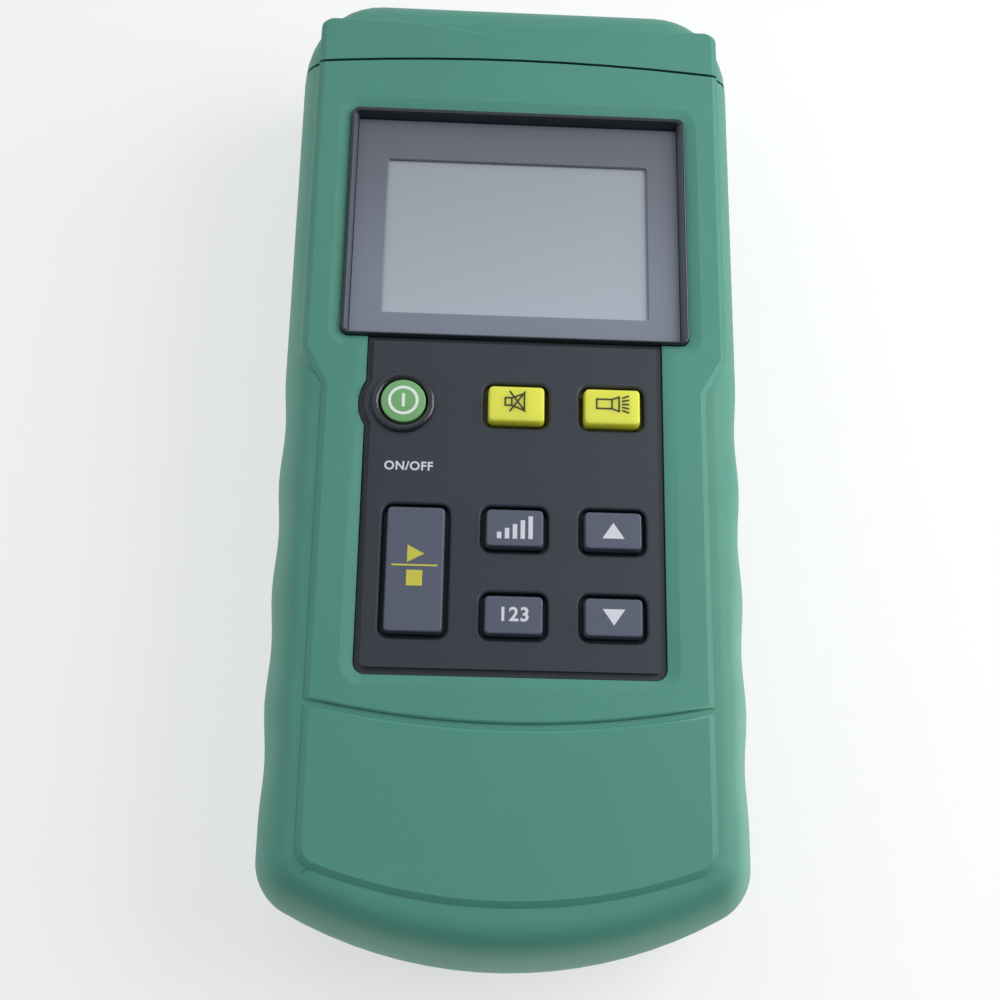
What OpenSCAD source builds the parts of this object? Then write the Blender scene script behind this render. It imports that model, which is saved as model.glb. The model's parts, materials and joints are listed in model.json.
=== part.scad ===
// Hand-held transmitter of a cable locator, lying on its back.
// X runs across the case, Y towards the socket end, Z out of the front face. Millimetres.

/* [Case] */
// Length of the case
case_l = 190; // [188:0.5:200]
// Width of the case at the parting line
case_w = 88.2; // [87:0.1:96]
// Height of the raised front face above the back
face_z = 40; // [39:0.5:46]
// Height of the parting line between the shells
split_z = 20; // [18:0.5:22]
// Wall of the shells
wall = 2.2; // [1.8:0.1:2.4]
// Height of the raised face above the grips
face_step = 0.7; // [0.5:0.1:1]
// Width of the roll from the sides to the front
front_roll = 9; // [8.6:0.1:10]
// Width of the roll from the sides to the back
rear_roll = 5; // [4:0.2:6]
// Corner radius at the socket end
top_r = 16.5; // [14:0.5:18]
// Corner radius at the bottom end
low_r = 10; // [9.8:0.1:12]
// Radius of the arc of the bottom end
end_r = 83; // [78:1:95]
// How far the sides are drawn in at the bottom end
low_inset = 0.2; // [0:0.1:1]

/* [Grips] */
// Number of finger scallops on each side
scallop_n = 4; // [2:1:4]
// Distance between scallops
scallop_pitch = 21; // [16:0.5:22]
// Depth of a scallop at the parting line
scallop_d = 0.6; // [0.3:0.1:1.2]
// Where the row of scallops starts
scallop_y = 13.5; // [12:0.5:20]

/* [Raised face] */
// Half width of the raised face beside the display
face_x = 39.2; // [37:0.2:40]
// Half width of the raised face between the grips
waist_x = 35.2; // [33.5:0.2:36]
// Where the raised face starts to narrow
jog_y = 15; // [12:0.5:18]
// Length of the slanted jog
jog_l = 7; // [4:0.5:9]
// Middle of the groove above the lower plate
groove_y = -53.8; // [-56:0.2:-52]
// Width of the groove
groove_w = 1; // [0.6:0.1:1.6]
// How far the groove bows
groove_bow = 3.6; // [2:0.2:5]
// Bottom of the lower plate
plate_y = -83.8; // [-86:0.2:-80]
// Radius of the arc of the lower plate
plate_r = 98; // [85:1:120]
// Distance of the lower plate from the bottom end
plate_back = 11.2; // [10:0.1:13]
// Corner radius of the lower plate
plate_corner = 4; // [2:0.5:6]

/* [Top cap] */
// Seam between cap and shells at the middle of the face
seam_y = 78; // [77.5:0.1:79]
// Radius of the seam's bow
seam_r = 460; // [380:10:600]
// Slant of the seam on the sides
seam_tilt = 20.7; // [15:0.1:24]
// Width of the seam line
seam_gap = 0.55; // [0.3:0.05:0.6]
// Edge of the raised face at the socket end
lip_y = 86.1; // [85:0.1:87]
// Distance of that edge from the socket end
lip_back = 8.9; // [8:0.1:10]
// Depth of the wave in that edge
wave_d = 2.5; // [1:0.1:3]
// Half length of the wave
wave_x = 26; // [20:0.5:30]

/* [Display] */
// Width of the display frame
frame_w = 65.1; // [64:0.1:67]
// Length of the display frame
frame_l = 48; // [47.2:0.1:49]
// Middle of the display frame
frame_y = 41.7; // [41.4:0.1:42.2]
// Height of the frame's rim above the face
rim_h = 0.5; // [0.3:0.1:0.8]
// Flat width of the rim
rim_w = 0.8; // [0.6:0.1:1.4]
// Width of the rim's inner chamfer
rim_chamfer = 0.4; // [0.2:0.1:0.6]
// Depth of the grey surround below the rim
surround_drop = 2.1; // [1.9:0.1:2.3]
// Thickness of the surround
surround_t = 0.6; // [0.5:0.1:0.8]
// Distance of the window from the sides of the frame
window_side = 7.35; // [7:0.05:9]
// Distance of the window from the top of the frame
window_above = 10.2; // [10:0.05:12]
// Distance of the window from the bottom of the frame
window_below = 5.45; // [5:0.05:6.5]
// Thickness of the clear window
window_t = 1.8; // [1.6:0.1:1.9]
// Thickness of the LCD glass
lcd_t = 1; // [0.9:0.1:1.1]

/* [Keypad] */
// Width of the keypad panel
panel_w = 54.7; // [54:0.1:56]
// Bottom edge of the keypad panel
panel_y = -45.6; // [-46.4:0.1:-45]
// Depth of the bevel round the panel and the display frame
dish_drop = 0.6; // [0.4:0.1:0.7]
// Depth of the panel's border below the face
border_drop = 1.1; // [0.8:0.1:1.3]
// Width of the panel's border
border_w = 1.1; // [0.8:0.1:1.4]
// Height of the keys above the face
key_h = 1.2; // [1:0.1:1.8]
// Width of a key
key_w = 10.4; // [9.8:0.1:10.8]
// Length of a key
key_l = 7; // [6.6:0.1:7.4]
// Length of the start key
start_l = 22.8; // [22:0.1:23.4]
// Middle column of keys
key_x = 0.3; // [-0.5:0.1:0.6]
// Distance between columns
key_dx = 17.6; // [17.2:0.1:17.8]
// Distance of the round button and the yellow keys from the top of the panel
key_top_drop = 13.2; // [12.6:0.05:13.8]
// Distance of the level and up keys from the bottom of the panel
key_mid_rise = 26.4; // [25.8:0.1:27]
// Distance to the row of the code and down keys
key_dy = 15.8; // [15.2:0.1:16]
// Travel of the keys
key_travel = 1; // [0.6:0.1:1.1]
// Centre of the round button
power_x = -20.4; // [-20.8:0.1:-20]
// Radius of the round button
power_r = 4.1; // [3.9:0.05:4.3]
// Height of the round button above the face
power_h = 1.3; // [1:0.1:1.6]
// Radius of the collar round it
collar_r = 5.85; // [5.6:0.05:6]
// Height of the collar above the panel
collar_h = 1; // [0.6:0.1:1.3]
// Radius of the bulge in the panel's edge
bulge_r = 8.2; // [7.8:0.1:8.6]

/* [Sockets and lamp] */
// Radius of a socket's contact bore
socket_r = 2; // [1.9:0.05:2.1]
// Depth of the contact bore
socket_depth = 15; // [12:0.5:16]
// Distance between the sockets
socket_pitch = 19; // [18:0.5:22]
// Height of the sockets above the back
socket_z = 19; // [18:0.5:20]
// Outer radius of a socket collar
shroud_r = 6; // [5.6:0.1:6.4]
// Radius of the lamp lens
lamp_r = 4.2; // [3.6:0.1:4.6]

/* [Battery] */
// Length of the battery block
battery_l = 48.5; // [46:0.5:49]
// Width of the battery block
battery_w = 26.5; // [25:0.5:27]
// Thickness of the battery block
battery_t = 17.5; // [16:0.5:18]
// Hinge edge of the battery cover
cover_y = -10; // [-11:0.5:-8]
// Length of the battery cover
cover_l = 71; // [70:0.5:73]
// Width of the battery cover
cover_w = 38; // [36:0.5:42]
// Thickness of the battery cover
cover_t = 2.2; // [2:0.1:2.6]

/* [Board] */
// Thickness of the board
board_t = 1.6; // [1.2:0.1:1.8]
// Width of the board
board_w = 60; // [60:0.5:61]
// Socket end of the board
board_top_y = 75.4; // [75:0.1:75.6]
// Bottom end of the board
board_low_y = -56; // [-58:0.5:-55.5]

/* [Hidden] */
$fn = 64;

// Overrun of cuts, and of cuts that graze a face
over = 1;
skim = 0.1;
// The places above fill the case: how far its length and width stretch them
long = case_l / (lip_y + lip_back + plate_back - plate_y);
wide = case_w / (2 * (waist_x + front_roll - skim));

// Sizes along the case follow its length
scallop_spacing = scallop_pitch * long;
scallop_start = scallop_y * long;
jog_start = jog_y * long;
jog_length = jog_l * long;
groove_place = groove_y * long;
plate_bottom = plate_y * long;
seam_place = seam_y * long;
lip_place = lip_y * long;
frame_length = frame_l * long;
frame_middle = frame_y * long;
panel_bottom = panel_y * long;
key_length = key_l * long;
start_length = start_l * long;
key_row_step = key_dy * long;
battery_length = battery_l * long;
cover_hinge = cover_y * long;
cover_length = cover_l * long;
board_top = board_top_y * long;
board_bottom = board_low_y * long;
socket_length = socket_depth * long;

// Sizes across the case follow its width
side_roll = front_roll * wide;
top_corner = top_r * wide;
face_half_width = face_x * wide;
waist_half_width = waist_x * wide;
wave_half_length = wave_x * wide;
frame_width = frame_w * wide;
panel_width = panel_w * wide;
key_width = key_w * wide;
key_column = key_x * wide;
key_column_step = key_dx * wide;
power_place = power_x * wide;
socket_spacing = socket_pitch * wide;
battery_width = battery_w * wide;
cover_width = cover_w * wide;
board_width = board_w * wide;

// Clearance of a piece dropped into its opening
fit = 0.15;
// Clearance between pieces stacked face to face
seat = 0.1;

// Roundness of the front and back rolls, and how many rings make them
front_power = 2.3;
rear_power = 3;
front_rings = 10;
rear_rings = 6;
hollow_rings = 5;
arc_steps = 9;

// Heights of the case
pillow_z = face_z - face_step;
ceiling_z = face_z - wall;
half_w = case_w / 2;
end_cy = end_r - case_l / 2;
// Least corner radius of the case's rings, inside and out
ring_r = 3.9;

// Edge of the raised face: draft, height of its foot, rounded edge, and the slope along its sides
face_draft = 0.6;
face_foot = 4;
face_edge = 0.6;
slope_w = 1.1;
slope_out = 0.35;
lip_corner = 2;
EDGE_ANGLES = [0, 30, 60, 90];
wave_steps = 16;

// Heights of the display stack, from the rim down to the board
rim_z = face_z + rim_h;
surround_z = rim_z - surround_drop;
window_z = surround_z - surround_t;
lcd_z = window_z - window_t;
guide_z = lcd_z - lcd_t;
flange_t = 1;
flange_w = 1.5;
flange_z = ceiling_z - flange_t;
frame_r = 1.4;
rim_edge = 0.3;
rim_shift = 0.3;
frame_low_y = frame_middle - frame_length / 2;
surround_y = frame_middle - rim_shift;
surround_w = frame_width - 2 * (rim_w + rim_chamfer);
surround_l = frame_length - 2 * (rim_w + rim_chamfer);
window_w = frame_width - 2 * window_side;
window_l = frame_length - window_above - window_below;
window_y = frame_low_y + window_below + window_l / 2;
pocket_lap = 2.4;
pocket_w = window_w + 2 * pocket_lap;
pocket_l = window_l + 2 * pocket_lap;
pocket_r = 0.4;
// Width of the case's inner roll, which leaves room for the flange of the frame
hollow_roll = half_w - wall - frame_width / 2 - flange_w + skim / 2;

// Heights of the keypad stack, from the panel down to the board
panel_t = wall;
panel_z = face_z;
border_z = face_z - border_drop;
panel_under_z = panel_z - panel_t;
key_gap = 0.2;
key_flange_t = 1;
key_flange_z = panel_under_z - key_gap - key_flange_t;
dome_h = 1.4;
mat_t = 0.8;
mat_z = key_flange_z - dome_h;
board_z = mat_z - mat_t;
board_under_z = board_z - board_t;
pad_t = 0.1;
pill_gap = 0.1;
pill_z = board_z + pad_t + key_travel + pill_gap;

// Keypad panel: place, corners, edge bevel of the face, skirt and key openings
panel_top_y = frame_low_y - seat;
panel_l = panel_top_y - panel_bottom;
panel_cy = (panel_top_y + panel_bottom) / 2;
panel_r = 2;
face_bevel = 2.4;
skirt_w = 1.4;
key_r = 0.9;
key_edge = 0.3;
key_draft = 0.15;
key_play = 0.75;
key_throat = 0.5;
opening_bevel = 0.6;
key_flange_w = 0.9;
power_play = 0.35;
power_crown = 0.25;
collar_lap = 0.1;

// Keys by name: place, width and length; the round button has a length of zero
key_top_y = panel_top_y - key_top_drop * long;
key_mid_y = panel_bottom + key_mid_rise * long;
key_low_y = key_mid_y - key_row_step;
start_y = (key_mid_y + key_low_y) / 2;
MUTE = [key_column, key_top_y, key_width, key_length];
LAMP = [key_column + key_column_step, key_top_y, key_width, key_length];
START = [key_column - key_column_step, start_y, key_width, start_length];
LEVEL = [key_column, key_mid_y, key_width, key_length];
UP = [key_column + key_column_step, key_mid_y, key_width, key_length];
CODE = [key_column, key_low_y, key_width, key_length];
DOWN = [key_column + key_column_step, key_low_y, key_width, key_length];
POWER = [power_place, key_top_y, 2 * power_r, 0];
FLAT_KEYS = [MUTE, LAMP, START, LEVEL, UP, CODE, DOWN];
KEYS = concat(FLAT_KEYS, [POWER]);

// Domes of the mat
dome_foot_r = 3.6;
dome_top_r = 2.6;
dome_wall = 0.5;
pill_r = 1.6;
pad_r = 2.2;

// Screws and bosses
boss_r = 3.4;
case_boss_r = 3.8;
screw_r = 1.4;
pilot_gap = 0.05;
screw_hole_gap = 0.25;
head_r = 2.6;
head_t = 1.8;
well_gap = 0.4;
slot_w = 0.7;
slot_d = 0.9;
board_screw_l = 4;
case_screw_l = 18;
well_floor_z = 9;
case_boss_side = 34.8;
case_boss_x = case_boss_side * wide;
case_boss_top = 72.4;
case_boss_top_y = case_boss_top * long;
case_boss_low = -66;
case_boss_low_y = case_boss_low * long;
board_boss_side = 24;
board_boss_x = board_boss_side * wide;
board_boss_top = 71.6;
board_boss_top_y = board_boss_top * long;
board_boss_low = -52;
board_boss_low_y = board_boss_low * long;
ear_side = 33.2;
ear_x = ear_side * wide;
ear_place = 11;
ear_y = ear_place * long;
CASE_BOSSES = [for (x = [-1, 1]) for (y = [case_boss_low_y, case_boss_top_y]) [x * case_boss_x, y]];
BOARD_BOSSES = concat(
    [for (x = [-1, 1]) for (y = [board_boss_low_y, board_boss_top_y]) [x * board_boss_x, y]],
    [for (x = [-1, 1]) [x * ear_x, ear_y]]
);

// Socket block
end_y = case_l / 2;
end_wall_y = end_y - wall;
shroud_wall = 1.6;
shroud_recess = 0.6;
sleeve_wall = 0.9;
sleeve_recess = 2;
sleeve_y = end_y - sleeve_recess;
sleeve_back_y = sleeve_y - socket_length;
tag_w = 3;
tag_t = 0.6;
block_w = 2 * shroud_r + socket_spacing + 2 * wall;
block_h = 2 * shroud_r + 2 * wall;
block_front_y = end_wall_y - fit - end_draw(socket_z + block_h / 2);
block_back_y = board_top + fit + tag_t + fit;

// Lamp in the end wall, beside the socket block
lens_flange = 0.8;
lamp_gap = 0.8;
lamp_x = block_w / 2 + lamp_gap + lamp_r + lens_flange;
lens_t = 1.6;
lens_recess = 0.4;
cup_l = 7;
led_r = 1.5;
led_l = 5.4;
led_foot = 1;
leg_w = 0.6;
leg_pitch = 2.54;

// Battery bay, cover and its screw
cover_recess = 0.3;
cover_gap = 0.3;
cover_in_z = cover_recess + cover_t;
battery_gap = 0.4;
battery_z = cover_in_z + battery_gap;
bay_wall = 1.4;
bay_w = battery_width + 2 * battery_gap;
bay_top_z = battery_z + battery_t + battery_gap;
tab_l = 3;
tab_t = 1.2;
tab_width = 8;
tab_w = tab_width * wide;
tab_side = 8;
tab_x = tab_side * wide;
tab_room = 4.4;
bay_top_y = cover_hinge + tab_room;
stud_h = 2.6;
snap_t = 2;
snap_room = 2.2;
battery_top_y = cover_hinge - tab_l - snap_room - stud_h - snap_t;
battery_low_y = battery_top_y - battery_length;
bay_low_y = battery_low_y - battery_gap;
cover_low_y = cover_hinge - cover_length;
cover_screw_y = (cover_low_y + bay_low_y - bay_wall) / 2;
cover_screw_r = 1.5;
cover_head_r = 2.7;
cover_head_t = 1.1;
cover_head_recess = 0.2;
cover_screw_gap = 0.3;
cover_screw_reach = 2.6;
insert_r = 2.6;
insert_l = 5;
insert_boss_r = 4;
insert_z = cover_in_z + cover_gap + 2 * fit;
ridge_w = 1;
ridge_d = 0.5;
ridge_n = 4;
cover_r = 3;
frame_lip = 2;

// Colours
GREEN = "#579082";
BLACK = "#30363a";
PANEL = "#3e424c";
GREY_KEY = "#5c5f6c";
SURROUND = "#6b717e";
LCD = "#9ba3ab";
YELLOW = "#e4de3c";
LEAF = "#69a55f";
STEEL = "#b8bcc0";
BRASS = "#c9a655";
BOARD = "#1f6b45";
RUBBER = "#8d9196";

// Points of an arc
function arc(cx, cy, r, from, to, steps) =
    [for (i = [0:steps]) let (a = from + (to - from) * i / steps) [cx + r * cos(a), cy + r * sin(a)]];
// The right half of an outline, joined with its mirror image
function mirrored(half) =
    let (n = len(half))
    concat(half, [for (i = [n - 1:-1:0]) if (abs(half[i][0]) > 0) [-half[i][0], half[i][1]]]);
// Share of a roll's width and height at an angle of 0 to 90 degrees
function roll_in_share(a, power) = 1 - pow(cos(a), 2 / power);
function roll_up_share(a, power) = pow(sin(a), 2 / power);
// Depth of the scallops along the side
function scallop(y) =
    let (t = (scallop_start - y) / scallop_spacing)
    t <= 0 || t >= scallop_n ? 0 : scallop_d * (1 - cos(360 * t)) / 2;
// Share of the bottom end's draw along the last scallop
function lean(y) = max(0, min(1, (scallop_start - y) / scallop_spacing - scallop_n + 1));
scallop_steps = 8;
SCALLOP_YS = [for (i = [scallop_n * scallop_steps:-1:0])
    scallop_start - scallop_spacing * i / scallop_steps];

// Right half of the case's outline, drawn in by d, with its scallops at a share of their depth
function case_half(d, side_ys, share) =
    let (
        x = half_w - d,
        low = max(low_r - d, ring_r),
        top = max(top_corner - d, ring_r),
        low_x = x - low_inset - low,
        low_y = end_cy - sqrt(pow(end_r - d - low, 2) - pow(low_x, 2)),
        low_a = atan2(low_y - end_cy, low_x)
    )
    concat(
        arc(0, end_cy, end_r - d, -90, low_a, arc_steps),
        [for (i = [1:arc_steps]) arc(low_x, low_y, low, low_a, 0, arc_steps)[i]],
        [for (y = side_ys) [x - share * scallop(y) - low_inset * lean(y), y]],
        arc(x - top, end_y - d - top, top, 0, 90, arc_steps)
    );
function case_ring(d, share) = mirrored(case_half(d, SCALLOP_YS, share));
function hollow_ring(d) = mirrored(case_half(d, [], 0));
// The socket end alone, from a straight edge below the seam
cap_low_y = seam_place - top_corner;
function cap_ring(d) =
    let (x = half_w - d, top = max(top_corner - d, ring_r))
    mirrored(concat([[x, cap_low_y]], arc(x - top, end_y - d - top, top, 0, 90, arc_steps)));

// Rounded rectangle about the origin
function rect_ring(w, l, r) =
    [for (i = [0:3]) let (sx = i == 0 || i == 3 ? 1 : -1, sy = i < 2 ? 1 : -1)
        each arc(sx * (w / 2 - r), sy * (l / 2 - r), r, 90 * i, 90 * i + 90, 4)];

// Solid through a stack of rings with equal numbers of points, its two ends fanned from a middle point
module loft(rings, heights, middle = [0, 0]) {
    n = len(rings[0]);
    m = len(rings);
    points = concat(
        [for (j = [0:m - 1]) for (p = rings[j]) [p[0], p[1], heights[j]]],
        [for (j = [0, m - 1]) [middle[0], middle[1], heights[j]]]
    );
    sides = [for (j = [0:m - 2]) for (i = [0:n - 1])
        let (a = j * n + i, b = j * n + (i + 1) % n)
        each [[a, a + n, b + n], [a, b + n, b]]];
    low = [for (i = [0:n - 1]) [m * n, i, (i + 1) % n]];
    high = [for (i = [0:n - 1]) let (a = (m - 1) * n) [m * n + 1, a + (i + 1) % n, a + i]];
    polyhedron(points, concat(low, sides, high));
}

// Rounded rectangle with true corner arcs
module rounded(w, l, r) {
    square([w - 2 * r, l], center = true);
    square([w, l - 2 * r], center = true);
    for (x = [-1, 1]) for (y = [-1, 1]) translate([x * (w / 2 - r), y * (l / 2 - r)]) circle(r);
}

module slab(w, l, r, z0, z1) {
    translate([0, 0, z0]) linear_extrude(height = z1 - z0) rounded(w, l, r);
}

module rod(r, z0, z1) {
    translate([0, 0, z0]) cylinder(r = r, h = z1 - z0);
}

// Rod along Y, from one end to the other
module y_rod(r, x, z, y0, y1) {
    translate([x, y0, z]) rotate([-90, 0, 0]) cylinder(r = r, h = y1 - y0);
}

module box(low, high) {
    translate(low) cube(high - low);
}

// Heights and draws of the rolls
FRONT_ANGLES = [for (j = [0:front_rings]) 90 * j / front_rings];
REAR_ANGLES = [for (j = [rear_rings:-1:0]) 90 * j / rear_rings];
function front_draw(a) = side_roll * roll_in_share(a, front_power);
function rear_draw(a) = rear_roll * roll_in_share(a, rear_power);
function front_height(a, top) = split_z + (top - split_z) * roll_up_share(a, front_power);
// How far the inner end wall is drawn in at a height above the parting line
function end_draw(z) =
    let (share = max(z - split_z, 0) / (ceiling_z - split_z))
    side_roll * (1 - pow(1 - pow(share, front_power), 1 / front_power));
function rear_height(a, low) = split_z - (split_z - low) * roll_up_share(a, rear_power);

module front_body() {
    loft(
        [for (a = FRONT_ANGLES) case_ring(front_draw(a), 1 - roll_in_share(a, front_power))],
        [for (a = FRONT_ANGLES) front_height(a, pillow_z)]
    );
}

module rear_body() {
    loft(
        [for (a = REAR_ANGLES) case_ring(rear_draw(a), 1 - roll_in_share(a, rear_power))],
        [for (a = REAR_ANGLES) rear_height(a, 0)]
    );
}

module front_hollow() {
    angles = [for (j = [0:hollow_rings]) 90 * j / hollow_rings];
    loft(
        [for (a = angles) hollow_ring(wall + hollow_roll * roll_in_share(a, front_power))],
        [for (a = angles) front_height(a, ceiling_z)]
    );
}

module rear_hollow() {
    angles = [for (j = [hollow_rings:-1:0]) 90 * j / hollow_rings];
    loft(
        [for (a = angles) hollow_ring(wall + rear_draw(a))],
        [for (a = angles) rear_height(a, wall)]
    );
}

// The socket end from back to front in one stack, or its hollow when drawn in by a wall
module cap_body(draw, low, top) {
    front = [for (i = [1:front_rings]) FRONT_ANGLES[i]];
    loft(
        concat(
            [for (a = REAR_ANGLES) cap_ring(draw + rear_draw(a))],
            [for (a = front) cap_ring(draw + front_draw(a))]
        ),
        concat(
            [for (a = REAR_ANGLES) rear_height(a, low)],
            [for (a = front) front_height(a, top)]
        ),
        [0, seam_place]
    );
}

// Everything on the socket side of the seam, which slants above the parting line
module cap_zone(shift) {
    bow = [for (i = [-6:6]) let (x = half_w * i / 5) [x, -x * x / (2 * seam_r)]];
    shape = concat(bow, [[bow[12][0], case_l], [bow[0][0], case_l]]);
    rise = face_z - split_z;
    intersection() {
        translate([0, seam_place - shift, face_z]) rotate([seam_tilt, 0, 0])
            linear_extrude(height = case_l, center = true) polygon(shape);
        box([-case_w, 0, split_z], [case_w, case_l, 2 * face_z]);
    }
    translate([0, seam_place - shift + rise * tan(seam_tilt), -over])
        linear_extrude(height = split_z + over) polygon(shape);
}

// Raised face above the groove, grown by g, and by s at its sides
function groove_arc(g, shift) =
    [for (i = [0:10]) let (x = (waist_half_width + g) * i / 10)
        [x, groove_place + shift + groove_bow * pow(x / waist_half_width, 2)]];
function wave_edge(g) =
    [for (i = [wave_steps:-1:0]) let (x = wave_half_length * i / wave_steps)
        [x, lip_place + g - wave_d * (1 + cos(180 * x / wave_half_length)) / 2]];
function lip_bend(g, s) =
    [for (a = [0:22.5:90])
        [
            face_half_width - lip_corner + (lip_corner + s) * cos(a),
            lip_place - lip_corner + (lip_corner + g) * sin(a)
        ]];
function face_ring(g, s) = mirrored(concat(
    groove_arc(s, -g),
    [[waist_half_width + s, jog_start - jog_length], [face_half_width + s, jog_start]],
    lip_bend(g, s),
    wave_edge(g)
));

// Draw and drop of a rounded edge at an angle
function edge_in(r, a) = r * (1 - cos(a));
function edge_down(r, a) = r * (1 - sin(a));
function slope_at(a) = slope_out - slope_w * sin(a);
EDGE_HEIGHTS = concat([pillow_z - face_foot], [for (a = EDGE_ANGLES) face_z - edge_down(face_edge, a)]);

module raised_face() {
    loft(
        concat(
            [face_ring(face_draft, slope_out + face_draft)],
            [for (a = EDGE_ANGLES) face_ring(-edge_in(face_edge, a), slope_at(a))]
        ),
        EDGE_HEIGHTS, [0, frame_middle]
    );
}

// Lower plate under the groove, grown by g, and by s at its other sides
function plate_ring(g, s) =
    let (
        x = waist_half_width + s,
        r = plate_corner + s,
        cy = plate_bottom + plate_r,
        low_x = x - r,
        low_y = cy - sqrt(pow(plate_r + s - r, 2) - pow(low_x, 2)),
        a = atan2(low_y - cy, low_x),
        top = groove_arc(s, g - groove_w)
    )
    mirrored(concat(
        arc(0, cy, plate_r + s, -90, a, arc_steps),
        [for (i = [1:arc_steps]) arc(low_x, low_y, r, a, 0, arc_steps)[i]],
        [for (i = [10:-1:0]) top[i]]
    ));

module lower_plate() {
    loft(
        concat(
            [plate_ring(face_draft, slope_out + face_draft)],
            [for (a = EDGE_ANGLES) plate_ring(-edge_in(face_edge, a), slope_at(a))]
        ),
        EDGE_HEIGHTS, [0, (groove_place + plate_bottom) / 2]
    );
}

// Opening for the display frame and keypad panel, grown by g
module panel_outline(g) {
    translate([0, panel_cy]) rounded(panel_width + 2 * g, panel_l + 2 * g, panel_r + g);
    translate([-panel_width / 2 - g, panel_cy]) square([panel_width + 2 * g, panel_l / 2 + g]);
    translate([power_place, key_top_y]) circle(bulge_r + g);
}

module frame_outline(g) {
    translate([0, frame_middle]) rounded(frame_width + 2 * g, frame_length + 2 * g, frame_r + g);
}

// Bevel of the face down to the panel and the frame, cut from just below its foot to above the face
module face_dish() {
    slope = face_bevel / dish_drop;
    low_z = face_z - dish_drop - skim;
    low = -slope * skim;
    high = face_bevel + slope * skim;
    reach = frame_middle - panel_bottom;
    panel_dish = [panel_width, reach, panel_bottom + reach / 2, panel_r];
    frame_dish = [frame_width, frame_length, frame_middle, frame_r];
    for (p = [panel_dish, frame_dish])
        translate([0, p[2], 0]) loft(
            [for (g = [low, high]) rect_ring(p[0] + 2 * g, p[1] + 2 * g, p[3] + g)],
            [low_z, face_z + skim]
        );
    translate([power_place, key_top_y, low_z])
        cylinder(r1 = bulge_r + low, r2 = bulge_r + high, h = face_z + skim - low_z);
}

module front_shell() {
    color(GREEN) difference() {
        union() {
            difference() {
                union() {
                    front_body();
                    raised_face();
                    lower_plate();
                }
                front_hollow();
            }
            for (p = CASE_BOSSES) translate(p) rod(case_boss_r, split_z + seam_gap, ceiling_z + skim);
            for (p = BOARD_BOSSES) translate(p) rod(boss_r, board_z, ceiling_z + face_step);
        }
        cap_zone(seam_gap);
        face_dish();
        translate([0, 0, flange_z]) linear_extrude(height = rim_z) {
            panel_outline(fit);
            frame_outline(fit);
        }
        for (p = CASE_BOSSES) translate(p)
            rod(screw_r + pilot_gap, split_z, well_floor_z + head_t + case_screw_l + over);
        for (p = BOARD_BOSSES) translate(p)
            rod(screw_r + pilot_gap, board_under_z, board_under_z + board_screw_l + over);
    }
}

module battery_bay(grow) {
    box(
        [-bay_w / 2 - grow, bay_low_y - grow, grow > 0 ? 0 : -over],
        [bay_w / 2 + grow, bay_top_y + grow, bay_top_z + grow]
    );
}

module rear_shell() {
    shell_top = split_z - seam_gap / 2;
    color(GREEN) difference() {
        union() {
            difference() {
                rear_body();
                rear_hollow();
                box([-case_w, -case_l, shell_top], [case_w, case_l, face_z]);
            }
            for (p = CASE_BOSSES) translate(p) rod(case_boss_r, wall / 2, shell_top);
            intersection() {
                battery_bay(bay_wall);
                box([-case_w, -case_l, wall / 2], [case_w, case_l, case_l]);
            }
            translate([0, cover_screw_y, 0]) rod(insert_boss_r, wall / 2, insert_z + insert_l + bay_wall);
            // Frame that the edge of the cover sinks into
            translate([0, (cover_hinge + cover_low_y) / 2, 0])
                slab(
                    cover_width + 2 * frame_lip, cover_length + 2 * frame_lip, cover_r + frame_lip,
                    wall / 2, insert_z
                );
        }
        cap_zone(seam_gap);
        // Recess of the cover, the bay behind it and the insert's pocket
        translate([0, (cover_hinge + cover_low_y) / 2, 0])
            slab(
                cover_width + 2 * cover_gap, cover_length + 2 * cover_gap, cover_r + cover_gap,
                -over, cover_in_z + cover_gap
            );
        difference() {
            battery_bay(0);
            box([-case_w, cover_hinge + cover_gap, -2 * over], [case_w, case_l, wall]);
        }
        translate([0, cover_screw_y, 0]) rod(insert_r + pilot_gap, 0, insert_z + insert_l);
        for (side = [-1, 1])
            translate([side * lead_x, lead_y, 0]) rod(lead_r + fit, bay_top_z - over, face_z);
        for (p = CASE_BOSSES) translate(p) {
            rod(head_r + well_gap, -over, well_floor_z);
            rod(screw_r + screw_hole_gap, 0, face_z);
        }
    }
}

module socket_x(side) {
    translate([side * socket_spacing / 2, 0, 0]) children();
}

module top_cap() {
    color(GREEN) difference() {
        union() {
            intersection() {
                difference() {
                    cap_body(0, 0, pillow_z);
                    cap_body(wall, wall, ceiling_z);
                }
                cap_zone(0);
            }
            intersection() {
                difference() {
                    raised_face();
                    box([-case_w, -case_l, 0], [case_w, case_l, ceiling_z]);
                }
                cap_zone(0);
            }
        }
        for (side = [-1, 1]) y_rod(shroud_r + fit, side * socket_spacing / 2, socket_z, 0, case_l);
        y_rod(lamp_r + fit, lamp_x, socket_z, 0, case_l);
    }
}

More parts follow.
